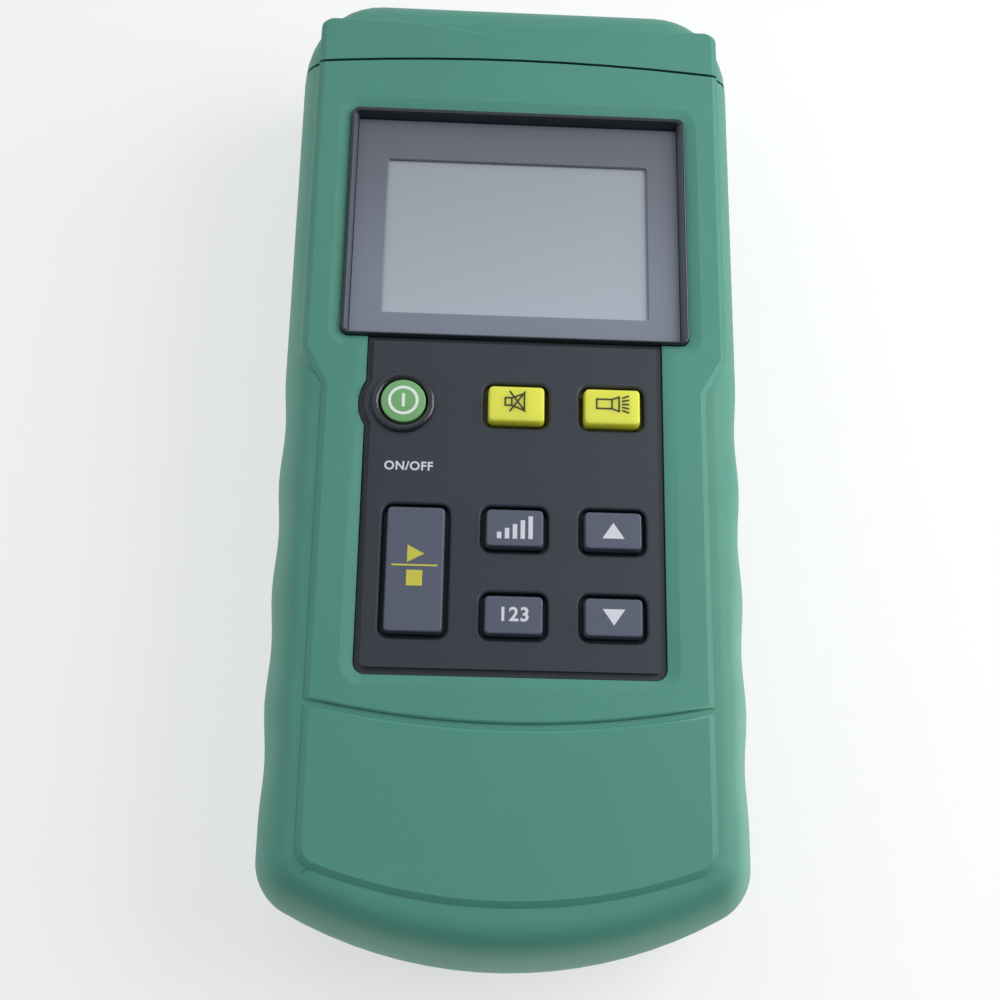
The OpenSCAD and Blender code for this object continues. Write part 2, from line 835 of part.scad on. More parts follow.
module display_frame() {
    color(BLACK) difference() {
        union() {
            translate([0, frame_middle, 0]) loft(
                concat(
                    [rect_ring(frame_width, frame_length, frame_r)],
                    [for (a = EDGE_ANGLES) let (g = -edge_in(rim_edge, a))
                        rect_ring(frame_width + 2 * g, frame_length + 2 * g, frame_r + g)]
                ),
                concat([flange_z], [for (a = EDGE_ANGLES) rim_z - edge_down(rim_edge, a)])
            );
            difference() {
                translate([0, frame_middle, 0])
                    slab(
                        frame_width + 2 * flange_w, frame_length + 2 * flange_w, frame_r,
                        flange_z, ceiling_z - seat
                    );
                box([-case_w, -case_l, 0], [case_w, frame_low_y, case_l]);
            }
        }
        // Seat of the surround, slanted wall above it and bevel inside the rim
        translate([0, surround_y, 0]) loft(
            [for (g = [0, 0, rim_chamfer, rim_chamfer + rim_edge + skim])
                rect_ring(surround_w + 2 * g, surround_l + 2 * g, pocket_r + g)],
            [window_z, surround_z, rim_z - rim_edge, rim_z + skim]
        );
        translate([0, window_y, 0]) slab(pocket_w, pocket_l, pocket_r, 0, rim_z);
    }
}

// Grey plate round the window, with a bevelled window edge
window_bevel = 0.2;
module display_surround() {
    color(SURROUND) difference() {
        translate([0, surround_y, 0])
            slab(surround_w - 2 * fit, surround_l - 2 * fit, pocket_r, window_z, surround_z);
        translate([0, window_y, 0]) loft(
            [for (g = [0, 0, window_bevel + skim])
                rect_ring(window_w + 2 * g, window_l + 2 * g, pocket_r + g)],
            [window_z - skim, surround_z - window_bevel, surround_z + skim]
        );
    }
}

module display_window() {
    color("#c9d3d8", 0.4) translate([0, window_y, 0])
        slab(pocket_w - 2 * fit, pocket_l - 2 * fit, pocket_r, lcd_z, window_z);
}

lcd_ledge = 1;
module lcd_glass() {
    color(LCD) translate([0, window_y, 0])
        slab(pocket_w - 2 * lcd_ledge, pocket_l - 2 * lcd_ledge, pocket_r, guide_z, lcd_z);
}

// Tray on the board that holds glass, light guide and contact strips
tray_lap = 1.6;
strip_w = 2.4;
strip_l = pocket_w - 6 * lcd_ledge;
strip_y = pocket_l / 2 - lcd_ledge - strip_w;
guide_w = strip_l;
guide_l = 2 * strip_y - 2 * strip_w;
module lcd_frame() {
    color("white") translate([0, window_y, 0]) difference() {
        slab(pocket_w + 2 * tray_lap, pocket_l + 2 * tray_lap, pocket_r, board_z, lcd_z - seat);
        slab(
            pocket_w - 2 * lcd_ledge + 2 * fit, pocket_l - 2 * lcd_ledge + 2 * fit, pocket_r,
            guide_z, rim_z
        );
        slab(guide_w + 2 * fit, guide_l + 2 * fit, pocket_r, 0, rim_z);
        for (y = [-1, 1]) translate([0, y * strip_y, 0])
            slab(strip_l + 2 * fit, strip_w + 2 * fit, pocket_r, 0, rim_z);
    }
}

module light_guide() {
    color("ivory") translate([0, window_y, 0]) slab(guide_w, guide_l, pocket_r, board_z, guide_z);
}

module contact_strips() {
    color("lightpink") for (y = [-1, 1]) translate([0, window_y + y * strip_y, 0])
        slab(strip_l, strip_w, pocket_r, board_z, guide_z);
}

// Hole for a key: straight throat and rounded mouth, whose last slope runs on above the panel
module key_hole(key) {
    last = EDGE_ANGLES[2];
    run = 1 + skim / edge_down(key_throat, last);
    grows = concat(
        [key_play],
        [for (i = [0:2]) key_play + edge_in(opening_bevel, EDGE_ANGLES[i])],
        [key_play + edge_in(opening_bevel, last) + run * opening_bevel * cos(last)]
    );
    heights = concat(
        [flange_z - over],
        [for (i = [0:2]) panel_z - edge_down(key_throat, EDGE_ANGLES[i])],
        [panel_z + skim]
    );
    translate([key[0], key[1], 0])
        loft([for (g = grows) rect_ring(key[2] + 2 * g, key[3] + 2 * g, key_r + g)], heights);
}

module keypad_panel() {
    rise = panel_z - border_z;
    collar_in = power_r + power_play - collar_lap;
    collar_z = panel_z + collar_h - (collar_r - collar_in) / 2;
    color(PANEL) difference() {
        union() {
            translate([0, 0, flange_z]) linear_extrude(height = border_z - flange_z) panel_outline(0);
            translate([0, 0, border_z]) linear_extrude(height = rise) panel_outline(-border_w);
            // Flange that clamps under the shell
            difference() {
                translate([0, 0, flange_z]) linear_extrude(height = flange_t - seat) panel_outline(flange_w);
                box([-case_w, panel_top_y, 0], [case_w, case_l, case_l]);
            }
            // Half-round collar of the round button
            translate([power_place, key_top_y, 0]) rotate_extrude() polygon(concat(
                [[collar_in, border_z], [collar_r, border_z]],
                arc((collar_r + collar_in) / 2, collar_z, (collar_r - collar_in) / 2, 0, 180, 2 * arc_steps)
            ));
        }
        linear_extrude(height = panel_under_z) panel_outline(-skirt_w);
        for (key = FLAT_KEYS) key_hole(key);
        translate([power_place, key_top_y, 0]) rod(power_r + power_play, 0, case_l);
    }
}

// Key: cap with drafted sides and rounded edge, flange below and contact pill
module key_shape(key) {
    top = face_z + key_h;
    translate([key[0], key[1], 0]) {
        loft(
            concat(
                [for (k = [0, 0]) rect_ring(key[2], key[3], key_r)],
                [for (a = EDGE_ANGLES) let (g = -key_draft - edge_in(key_edge, a))
                    rect_ring(key[2] + 2 * g, key[3] + 2 * g, key_r + g)]
            ),
            concat(
                [key_flange_z, panel_z - key_throat],
                [for (a = EDGE_ANGLES) top - edge_down(key_edge, a)]
            )
        );
        slab(
            key[2] + 2 * (key_play + key_flange_w), key[3] + 2 * (key_play + key_flange_w), key_r,
            key_flange_z, key_flange_z + key_flange_t
        );
        rod(pill_r, pill_z, key_flange_z + key_flange_t);
    }
}

module key_power() {
    rim = face_z + power_h - power_crown;
    crown_r = power_r - key_edge;
    color(LEAF) translate([power_place, key_top_y, 0]) rotate_extrude() polygon(concat(
        [[0, pill_z], [pill_r, pill_z], [pill_r, key_flange_z]],
        [[power_r + power_play + key_flange_w, key_flange_z]],
        [[power_r + power_play + key_flange_w, key_flange_z + key_flange_t]],
        [[power_r, key_flange_z + key_flange_t]],
        [for (a = EDGE_ANGLES) [power_r - edge_in(key_edge, a), rim - edge_down(key_edge, a)]],
        [for (i = [1:8]) let (r = crown_r * (1 - i / 8)) [r, rim + power_crown * (1 - pow(r / crown_r, 2))]]
    ));
}

module key_mute() { color(YELLOW) key_shape(MUTE); }
module key_lamp() { color(YELLOW) key_shape(LAMP); }
module key_start() { color(GREY_KEY) key_shape(START); }
module key_level() { color(GREY_KEY) key_shape(LEVEL); }
module key_up() { color(GREY_KEY) key_shape(UP); }
module key_code() { color(GREY_KEY) key_shape(CODE); }
module key_down() { color(GREY_KEY) key_shape(DOWN); }

// Rubber dome that springs a key back
module dome(key) {
    color(RUBBER) translate([key[0], key[1], 0]) rotate_extrude() polygon([
        [dome_foot_r - dome_wall, mat_z], [dome_foot_r, mat_z],
        [dome_top_r, key_flange_z], [dome_top_r - dome_wall, key_flange_z]
    ]);
}

module dome_power() { dome(POWER); }
module dome_mute() { dome(MUTE); }
module dome_lamp() { dome(LAMP); }
module dome_start() { dome(START); }
module dome_level() { dome(LEVEL); }
module dome_up() { dome(UP); }
module dome_code() { dome(CODE); }
module dome_down() { dome(DOWN); }

module keypad_mat() {
    color(RUBBER) difference() {
        translate([0, panel_cy, 0])
            slab(panel_width - 2 * skirt_w, panel_l - 2 * skirt_w, panel_r, board_z, mat_z);
        for (key = KEYS) translate([key[0], key[1], 0]) rod(dome_foot_r - dome_wall, 0, case_l);
    }
}

ear_margin = 0.5;
ear_l = 2 * (boss_r + ear_margin);
module main_board() {
    board_l = board_top - board_bottom;
    board_r = 1.5;
    color(BOARD) difference() {
        union() {
            translate([0, (board_top + board_bottom) / 2, 0])
                slab(board_width, board_l, board_r, board_under_z, board_z);
            translate([0, ear_y, 0]) slab(2 * (ear_x + boss_r), ear_l, board_r, board_under_z, board_z);
        }
        for (p = BOARD_BOSSES) translate(p) rod(screw_r + screw_hole_gap, 0, case_l);
    }
}

module contact_pads() {
    color(BRASS) for (key = KEYS) translate([key[0], key[1], 0]) rod(pad_r, board_z, board_z + pad_t);
}

// Pan-head screw pointing up, with a cross slot under its head
module screw(z, r, l, head, head_h) {
    difference() {
        union() {
            rod(head, z, z + head_h);
            rod(r, z, z + head_h + l);
        }
        for (a = [0, 90]) rotate([0, 0, a])
            box([-head * slot_share, -slot_w / 2, z - over], [head * slot_share, slot_w / 2, z + slot_d]);
    }
}
slot_share = 0.7;

module board_screws() {
    color(STEEL) for (p = BOARD_BOSSES) translate(p)
        screw(board_under_z - head_t, screw_r, board_screw_l, head_r, head_t);
}

module case_screws() {
    color(STEEL) for (p = CASE_BOSSES) translate(p)
        screw(well_floor_z - head_t, screw_r, case_screw_l, head_r, head_t);
}

// Parts on the back of the board
chip_w = 12;
chip_t = 1.6;
chip_place = 24;
chip_y = chip_place * long;
chip_r = 0.4;
module controller_chip() {
    lead_n = 8;
    lead_l = 1.2;
    lead_w = 0.5;
    pitch = chip_w / (lead_n + 1);
    color("#26282b") translate([0, chip_y, 0]) {
        slab(chip_w, chip_w, chip_r, board_under_z - chip_t, board_under_z);
        for (turn = [0, 90]) rotate([0, 0, turn]) for (i = [1:lead_n])
            translate([i * pitch - chip_w / 2, 0, 0]) box(
                [-lead_w / 2, -chip_w / 2 - lead_l, board_under_z - lead_w],
                [lead_w / 2, chip_w / 2 + lead_l, board_under_z]
            );
    }
}

core_w = 16;
core_l = 13;
core_h = 9;
coil_r = 5;
transformer_place = 58;
transformer_y = transformer_place * long;
module output_transformer() {
    leg = 3;
    z0 = board_under_z - core_h;
    color("#4a4038") translate([0, transformer_y, 0]) {
        difference() {
            box([-core_w / 2, -core_l / 2, z0], [core_w / 2, core_l / 2, board_under_z]);
            for (x = [-1, 1]) translate([x * (core_w - leg) / 4, 0, 0])
                box([-leg / 2, -core_l, z0 + leg], [leg / 2, core_l, board_under_z - leg]);
        }
        translate([0, 0, z0 + leg]) cylinder(r = coil_r, h = core_h - 2 * leg);
    }
}

capacitor_r = 3.2;
capacitor_h = 9;
capacitor_side = 20;
capacitor_x = capacitor_side * wide;
capacitor_place = 48;
capacitor_y = capacitor_place * long;
capacitor_n = 3;
module capacitors() {
    bead = 0.3;
    color("#33424f") for (i = [0:capacitor_n - 1])
        translate([capacitor_x, capacitor_y - 3 * i * capacitor_r, 0]) difference() {
            rod(capacitor_r, board_under_z - capacitor_h, board_under_z);
            translate([0, 0, board_under_z - capacitor_r / 2]) rotate_extrude()
                translate([capacitor_r, 0]) circle(bead);
        }
}

buzzer_r = 7;
buzzer_h = 6;
buzzer_side = -18;
buzzer_x = buzzer_side * wide;
buzzer_place = 50;
buzzer_y = buzzer_place * long;
module buzzer() {
    hole_r = 1.2;
    color("#202224") translate([buzzer_x, buzzer_y, 0]) difference() {
        rod(buzzer_r, board_under_z - buzzer_h, board_under_z);
        rod(hole_r, 0, board_under_z - buzzer_h / 2);
    }
}

// Block behind the end wall that holds the sockets
module terminal_block() {
    color(BLACK) difference() {
        box(
            [-block_w / 2, block_back_y, socket_z - block_h / 2],
            [block_w / 2, block_front_y, socket_z + block_h / 2]
        );
        for (side = [-1, 1]) {
            y_rod(shroud_r + seat, side * socket_spacing / 2, socket_z, sleeve_back_y, case_l);
            y_rod(socket_r + sleeve_wall + seat, side * socket_spacing / 2, socket_z, 0, case_l);
        }
    }
}

// Contact sleeve with its solder tag up to the board
module sleeve(side) {
    color(BRASS) socket_x(side) {
        difference() {
            y_rod(socket_r + sleeve_wall, 0, socket_z, block_back_y, sleeve_y);
            y_rod(socket_r, 0, socket_z, sleeve_back_y, case_l);
        }
        box(
            [-tag_w / 2, block_back_y - fit - tag_t, socket_z - tag_w / 2],
            [tag_w / 2, block_back_y, socket_z + tag_w / 2]
        );
        box(
            [-tag_w / 2, block_back_y - fit - tag_t, socket_z],
            [tag_w / 2, block_back_y - fit, board_z]
        );
    }
}

module signal_sleeve() { sleeve(-1); }
module earth_sleeve() { sleeve(1); }

// Insulating collar round a contact sleeve
module collar(side) {
    socket_x(side) difference() {
        y_rod(shroud_r, 0, socket_z, sleeve_back_y + seat, end_y - shroud_recess);
        y_rod(shroud_r - shroud_wall, 0, socket_z, sleeve_back_y + shroud_wall, case_l);
        y_rod(socket_r + sleeve_wall + seat, 0, socket_z, 0, case_l);
    }
}

module signal_collar() { color("#b3302c") collar(-1); }
module earth_collar() { color("#1e2022") collar(1); }

// Lamp: lens in the end wall, reflector cup behind it and the diode in the cup
lens_back_y = end_wall_y - lens_t;
lens_top_z = socket_z + lamp_r + lens_flange;
cup_back_y = lens_back_y - cup_l;
led_back_y = cup_back_y - led_foot;
module lamp_lens() {
    color("white", 0.5) {
        y_rod(lamp_r, lamp_x, socket_z, lens_back_y, end_y - lens_recess);
        y_rod(lamp_r + lens_flange, lamp_x, socket_z, lens_back_y, end_wall_y - seat - end_draw(lens_top_z));
    }
}

module lamp_reflector() {
    cup_r = lamp_r + lens_flange;
    color("silver") translate([lamp_x, cup_back_y, socket_z]) rotate([-90, 0, 0]) rotate_extrude() polygon([
        [led_r + seat, 0], [cup_r, 0], [cup_r, cup_l - seat],
        [lamp_r - seat, cup_l - seat], [led_r + seat, led_foot]
    ]);
}

module lamp_led() {
    color("ivory") {
        y_rod(led_r, lamp_x, socket_z, led_back_y, led_back_y + led_l - led_r);
        translate([lamp_x, led_back_y + led_l - led_r, socket_z]) sphere(led_r);
        y_rod(led_r + leg_w, lamp_x, socket_z, led_back_y, cup_back_y - seat);
        for (side = [-1, 1]) translate([lamp_x + side * leg_pitch / 2, 0, 0]) {
            box(
                [-leg_w / 2, board_top + fit, socket_z - leg_w / 2],
                [leg_w / 2, led_back_y + leg_w, socket_z + leg_w / 2]
            );
            box(
                [-leg_w / 2, board_top + fit, socket_z - leg_w / 2],
                [leg_w / 2, board_top + fit + leg_w, board_z]
            );
        }
    }
}

// Battery block with its two studs
stud_pitch = 12.7;
stud_r = 3;
stud_z = battery_z + battery_t / 2;
battery_r = 1.5;
module battery() {
    color("#3a3d42") {
        translate([0, (battery_top_y + battery_low_y) / 2, 0])
            slab(battery_width, battery_length, battery_r, battery_z, battery_z + battery_t);
        for (side = [-1, 1])
            y_rod(stud_r, side * stud_pitch / 2, stud_z, battery_top_y - over, battery_top_y + stud_h);
    }
}

snap_y = battery_top_y + stud_h + seat;
module battery_snap() {
    color("#222426") difference() {
        box(
            [-battery_width / 2, battery_top_y + seat, stud_z - stud_r - snap_t],
            [battery_width / 2, snap_y + snap_t, stud_z + stud_r + snap_t]
        );
        for (side = [-1, 1]) y_rod(stud_r + seat, side * stud_pitch / 2, stud_z, -case_l, snap_y);
    }
}

// Lead from the snap up to the board
lead_r = 0.7;
lead_x = battery_width / 2 - 2 * lead_r;
lead_y = snap_y + snap_t + seat + lead_r;
module lead(side) {
    translate([side * lead_x, lead_y, 0]) rod(lead_r, stud_z, board_under_z - seat);
}

module red_lead() { color("#b3302c") lead(-1); }
module black_lead() { color("#1e2022") lead(1); }

// Battery cover with two tabs, finger ridges and a hole for its captive screw
module battery_cover() {
    cy = (cover_hinge + cover_low_y) / 2;
    color(GREEN) difference() {
        union() {
            translate([0, cy, 0]) slab(cover_width, cover_length, cover_r, cover_recess, cover_in_z);
            for (side = [-1, 1]) box(
                [side * tab_x - tab_w / 2, cover_hinge - tab_l, cover_in_z - cover_recess],
                [side * tab_x + tab_w / 2, cover_hinge + tab_l, cover_in_z + tab_t]
            );
        }
        for (side = [-1, 1]) box(
            [side * tab_x - tab_w, cover_hinge, 0],
            [side * tab_x + tab_w, cover_hinge + 2 * tab_l, cover_in_z]
        );
        for (i = [1:ridge_n]) box(
            [-cover_width / 4, cover_screw_y + cover_head_r + 2 * i * ridge_w, 0],
            [cover_width / 4, cover_screw_y + cover_head_r + (2 * i + 1) * ridge_w, cover_recess + ridge_d]
        );
        translate([0, cover_screw_y, 0]) {
            rod(cover_head_r + pilot_gap, 0, cover_recess + cover_head_recess + cover_head_t);
            rod(cover_screw_r + pilot_gap, 0, face_z);
        }
    }
}

module cover_screw() {
    z = cover_recess + cover_head_recess;
    l = insert_z + cover_screw_reach - z - cover_head_t;
    color(STEEL) translate([0, cover_screw_y, 0]) screw(z, cover_screw_r, l, cover_head_r, cover_head_t);
}

module cover_insert() {
    color(BRASS) translate([0, cover_screw_y, 0]) difference() {
        rod(insert_r, insert_z, insert_z + insert_l);
        rod(cover_screw_r + cover_screw_gap, 0, face_z);
    }
}

front_shell();
rear_shell();
top_cap();
display_frame();
display_surround();
display_window();
lcd_glass();
lcd_frame();
light_guide();
contact_strips();
keypad_panel();
keypad_mat();
key_power();
key_mute();
key_lamp();
key_start();
key_level();
key_up();
key_code();
key_down();
dome_power();
dome_mute();
dome_lamp();
dome_start();
dome_level();
dome_up();
dome_code();
dome_down();
main_board();
contact_pads();
board_screws();
controller_chip();
output_transformer();
capacitors();
buzzer();
terminal_block();
signal_sleeve();
earth_sleeve();
signal_collar();
earth_collar();
lamp_led();
lamp_reflector();
lamp_lens();
battery();
battery_snap();
red_lead();
black_lead();
battery_cover();
cover_screw();
cover_insert();
case_screws();
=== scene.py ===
# %% [markdown]
# # A hand-held cable locator transmitter
# The exact solids of the instrument are loaded as a fixed frame. This lesson dresses them: it copies the
# moulded shells and smooths their shading, gives every piece a procedural finish, prints the symbols on the
# keys, and sets up camera, floor and light. All lengths are metres, in the frame of the solids.

# %% Load the frame
import json
import math
import bpy
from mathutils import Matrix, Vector

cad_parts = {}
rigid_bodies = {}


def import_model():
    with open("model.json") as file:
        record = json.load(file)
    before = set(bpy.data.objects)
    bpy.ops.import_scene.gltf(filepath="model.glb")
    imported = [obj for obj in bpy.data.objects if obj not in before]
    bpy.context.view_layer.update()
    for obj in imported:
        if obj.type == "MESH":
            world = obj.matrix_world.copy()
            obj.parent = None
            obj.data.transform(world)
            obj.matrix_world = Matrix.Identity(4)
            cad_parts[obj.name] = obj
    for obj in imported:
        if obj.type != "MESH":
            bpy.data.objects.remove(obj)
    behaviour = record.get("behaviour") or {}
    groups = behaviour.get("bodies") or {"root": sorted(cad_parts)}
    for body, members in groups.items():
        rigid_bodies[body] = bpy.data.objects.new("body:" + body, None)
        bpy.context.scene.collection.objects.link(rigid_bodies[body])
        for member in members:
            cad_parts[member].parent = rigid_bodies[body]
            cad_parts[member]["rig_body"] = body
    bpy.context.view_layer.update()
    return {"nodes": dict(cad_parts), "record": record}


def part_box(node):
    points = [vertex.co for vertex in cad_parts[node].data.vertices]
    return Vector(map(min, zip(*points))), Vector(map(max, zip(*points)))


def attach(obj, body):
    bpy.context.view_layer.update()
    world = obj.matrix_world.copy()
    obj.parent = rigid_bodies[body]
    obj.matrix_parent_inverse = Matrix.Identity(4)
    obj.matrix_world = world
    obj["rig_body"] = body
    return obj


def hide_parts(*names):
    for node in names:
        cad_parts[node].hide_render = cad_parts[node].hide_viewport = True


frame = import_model()
record = frame["record"]
MM = 0.001

# %% [markdown]
# ## Camera
# The view is from above the keypad, tilted a little towards the socket end, so the face narrows upwards. A
# camera could be aimed by a constraint, but plain numbers are easier to check: the place and the three
# angles were fitted once to the corners of display, panel and case, and stay as they are.

# %% Camera
CAMERA_PLACE = (-12.07 * MM, -86.29 * MM, 278.87 * MM)
CAMERA_TURN = (16.841, -2.609, 0.962)
LENS_MM = 50.015
NEAREST = 10 * MM

bpy.ops.object.select_all(action="DESELECT")
bpy.ops.object.camera_add(location=CAMERA_PLACE, rotation=[math.radians(a) for a in CAMERA_TURN])
camera = bpy.context.object
camera.name = "photo_camera"
camera.data.lens = LENS_MM
camera.data.clip_start = NEAREST
bpy.context.scene.camera = camera
bpy.context.scene.view_settings.view_transform = "Standard"
print("camera stands", round(camera.location.z / MM), "mm above the floor")

# %% [markdown]
# ## Node tools
# Every material is a small graph of nodes. It could be drawn in the node editor, but code can be read and
# repeated. Three helpers keep the cells short: one empties a graph, one adds a node with its values, and one
# wires two nodes together.

# %% Node tools
def empty_tree(owner):
    owner.use_nodes = True
    owner.node_tree.nodes.clear()
    return owner.node_tree


def add_node(tree, kind, values=None, **settings):
    node = tree.nodes.new(kind)
    for key, value in settings.items():
        setattr(node, key, value)
    for socket, value in (values or {}).items():
        node.inputs[socket].default_value = value
    return node


def wire(tree, source, out, target, into):
    tree.links.new(source.outputs[out], target.inputs[into])


print("node tools ready")

# %% [markdown]
# ## Paper floor
# The instrument lies on white studio paper, far larger than the view, with a fine grain in its colour. A
# curved backdrop would do as well, but from above only the flat part shows.

# %% Paper floor
FLOOR_SIZE = 6.0
PAPER_GRAIN = 150.0
PAPER_TONES = (0.97, 1.0)
PAPER_ROUGH = 0.9

bpy.ops.object.select_all(action="DESELECT")
bpy.ops.mesh.primitive_plane_add(size=FLOOR_SIZE, location=(0, 0, 0))
floor = bpy.context.object
floor.name = "studio_floor"
paper = bpy.data.materials.new("studio_paper")
tree = empty_tree(paper)
paper_out = add_node(tree, "ShaderNodeOutputMaterial")
paper_shader = add_node(tree, "ShaderNodeBsdfPrincipled", {"Roughness": PAPER_ROUGH})
paper_place = add_node(tree, "ShaderNodeTexCoord")
paper_noise = add_node(tree, "ShaderNodeTexNoise", {"Scale": PAPER_GRAIN})
paper_ramp = add_node(tree, "ShaderNodeValToRGB")
for stop, tone in zip(paper_ramp.color_ramp.elements, PAPER_TONES):
    stop.color = (tone, tone, tone, 1.0)
wire(tree, paper_place, "Object", paper_noise, "Vector")
wire(tree, paper_noise, "Fac", paper_ramp, "Fac")
wire(tree, paper_ramp, "Color", paper_shader, "Base Color")
floor.data.materials.append(paper)
print("paper floor", FLOOR_SIZE, "m wide")

# %% [markdown]
# ## Paper glow
# More light would make the paper white but bleach the object. So, for what the camera sees, directly, in a
# gloss or through glass, a share of the paper glows at strength one. The rest takes the soft shadow under the
# case, and the glow lights nothing.

# %% Paper glow
PAPER_GLOW = 0.6

paper_rays = add_node(tree, "ShaderNodeLightPath")
seen = paper_rays.outputs["Is Camera Ray"]
for ray in ("Is Glossy Ray", "Is Transmission Ray"):
    either = add_node(tree, "ShaderNodeMath", operation="MAXIMUM")
    tree.links.new(seen, either.inputs[0])
    wire(tree, paper_rays, ray, either, 1)
    seen = either.outputs["Value"]
paper_share = add_node(tree, "ShaderNodeMath", {1: PAPER_GLOW}, operation="MULTIPLY")
paper_glow = add_node(tree, "ShaderNodeEmission")
paper_mix = add_node(tree, "ShaderNodeMixShader")
tree.links.new(seen, paper_share.inputs[0])
wire(tree, paper_share, "Value", paper_mix, "Fac")
wire(tree, paper_shader, "BSDF", paper_mix, 1)
wire(tree, paper_glow, "Emission", paper_mix, 2)
wire(tree, paper_mix, "Shader", paper_out, "Surface")
print("share of the paper that glows:", PAPER_GLOW)

# %% [markdown]
# ## Sky
# The sky is the soft light of the room, a little cooler than the lamp. An even sky would flatten the raised
# face, so it dims along one axis, towards the near right, as in a room that is bright on one side.

# %% Sky
SKY_COLOUR = (0.93, 0.97, 1.0, 1.0)
SKY_AXIS = (-0.64, 0.77, 0.0)
SKY_START = -0.9
SKY_FRONT = 0.06
SKY_BACK = 0.95

world = bpy.data.worlds.new("studio_sky")
bpy.context.scene.world = world
tree = empty_tree(world)
sky_out = add_node(tree, "ShaderNodeOutputWorld")
sky = add_node(tree, "ShaderNodeBackground", {"Color": SKY_COLOUR})
sky_place = add_node(tree, "ShaderNodeTexCoord")
sky_along = add_node(tree, "ShaderNodeVectorMath", {1: SKY_AXIS}, operation="DOT_PRODUCT")
sky_range = add_node(
    tree, "ShaderNodeMapRange", {"From Min": SKY_START, "To Min": SKY_FRONT, "To Max": SKY_BACK}
)
wire(tree, sky_place, "Generated", sky_along, 0)
wire(tree, sky_along, "Value", sky_range, "Value")
wire(tree, sky_range, "Result", sky, "Strength")
wire(tree, sky, "Background", sky_out, "Surface")
print("sky strength from", SKY_FRONT, "to", SKY_BACK)

# %% [markdown]
# ## Lamps
# A soft box stands close by, to the right of the socket end, so the right-hand rolls of the case catch
# light and the light falls off to the left and to the bottom. Three reflector cards lie on the table and
# lift the lower rolls of the case, as white paper does; they are lamps that face up and that the camera
# doesn't see.

# %% Lamps
BOX_PLACE = (0.34, 0.09, 0.29)
BOX_TARGET = (0.0, 0.0, 0.03)
BOX_SIZE = 0.4
BOX_WATTS = 1.72
CARDS = {
    "front_card": ((0.0, -0.18, 0.004), 0.035),
    "left_card": ((-0.14, 0.0, 0.004), 0.02),
    "right_card": ((0.13, -0.07, 0.004), 0.06),
}
CARD_SIZE = 0.12


def area_lamp(name, place, size, watts):
    bpy.ops.object.light_add(type="AREA", location=place)
    lamp = bpy.context.object
    lamp.name = name
    lamp.data.size = size
    lamp.data.energy = watts
    return lamp


soft_box = area_lamp("soft_box", BOX_PLACE, BOX_SIZE, BOX_WATTS)
away = Vector(BOX_PLACE) - Vector(BOX_TARGET)
soft_box.rotation_euler = away.to_track_quat("Z", "Y").to_euler()
for card_name, (place, watts) in CARDS.items():
    card = area_lamp(card_name, place, CARD_SIZE, watts)
    card.visible_camera = False
    card.rotation_euler.x = math.pi
print("soft box at", BOX_PLACE, "and", len(CARDS), "cards")

# %% [markdown]
# ## Moulded grain
# Moulded plastic is never one flat colour. Four small node groups give every finish its life, and each is
# built once and shared. They read Object coordinates, so nothing slides when a key moves. The first is the
# fine grain that spark erosion leaves in a mould, as a height for the bump. An image could give it too, but
# noise needs no file and never repeats.

# %% Moulded grain
FLOAT = "NodeSocketFloat"
COLOUR = "NodeSocketColor"
VECTOR = "NodeSocketVector"
GREY = (0.5, 0.5, 0.5, 1.0)


def new_group(name, inputs, outputs):
    group = bpy.data.node_groups.new(name, "ShaderNodeTree")
    for label, kind, value in inputs:
        socket = group.interface.new_socket(label, in_out="INPUT", socket_type=kind)
        socket.default_value = value
    for label, kind in outputs:
        group.interface.new_socket(label, in_out="OUTPUT", socket_type=kind)
    return group, add_node(group, "NodeGroupInput"), add_node(group, "NodeGroupOutput")


def noise_on_object(group, detail):
    place = add_node(group, "ShaderNodeTexCoord")
    noise = add_node(group, "ShaderNodeTexNoise", {"Detail": detail})
    wire(group, place, "Object", noise, "Vector")
    return noise


grain_group, grain_in, grain_out = new_group(
    "moulded_grain", [("Scale", FLOAT, 2500.0)], [("Height", FLOAT)]
)
grain_noise = noise_on_object(grain_group, 2.0)
wire(grain_group, grain_in, "Scale", grain_noise, "Scale")
wire(grain_group, grain_noise, "Fac", grain_out, "Height")
print("made node group", grain_group.name)

# %% [markdown]
# ## Colour drift and dust
# The pigment in a moulding is mixed unevenly, so its brightness drifts slowly over the surface. A second,
# finer noise is cut off near its top, which leaves a few pale specks of dust.

# %% Colour drift and dust
AROUND_ZERO = {"To Min": -0.5, "To Max": 0.5}
DUST_SCALE = 1400.0
DUST_CUT = {"From Min": 0.70, "From Max": 0.80}
DUST_COLOUR = (0.62, 0.64, 0.64, 1.0)
MIX_A, MIX_B, MIX_OUT = 6, 7, 2

drift_group, drift_in, drift_out = new_group(
    "colour_drift",
    [("Color", COLOUR, GREY), ("Scale", FLOAT, 60.0), ("Drift", FLOAT, 0.1), ("Dust", FLOAT, 0.05)],
    [("Color", COLOUR)],
)
drift_noise = noise_on_object(drift_group, 4.0)
drift_level = add_node(drift_group, "ShaderNodeMapRange", AROUND_ZERO)
drift_scaled = add_node(drift_group, "ShaderNodeMath", {2: 1.0}, operation="MULTIPLY_ADD")
drift_value = add_node(drift_group, "ShaderNodeHueSaturation")
wire(drift_group, drift_in, "Scale", drift_noise, "Scale")
wire(drift_group, drift_noise, "Fac", drift_level, "Value")
wire(drift_group, drift_level, "Result", drift_scaled, 0)
wire(drift_group, drift_in, "Drift", drift_scaled, 1)
wire(drift_group, drift_scaled, "Value", drift_value, "Value")
wire(drift_group, drift_in, "Color", drift_value, "Color")

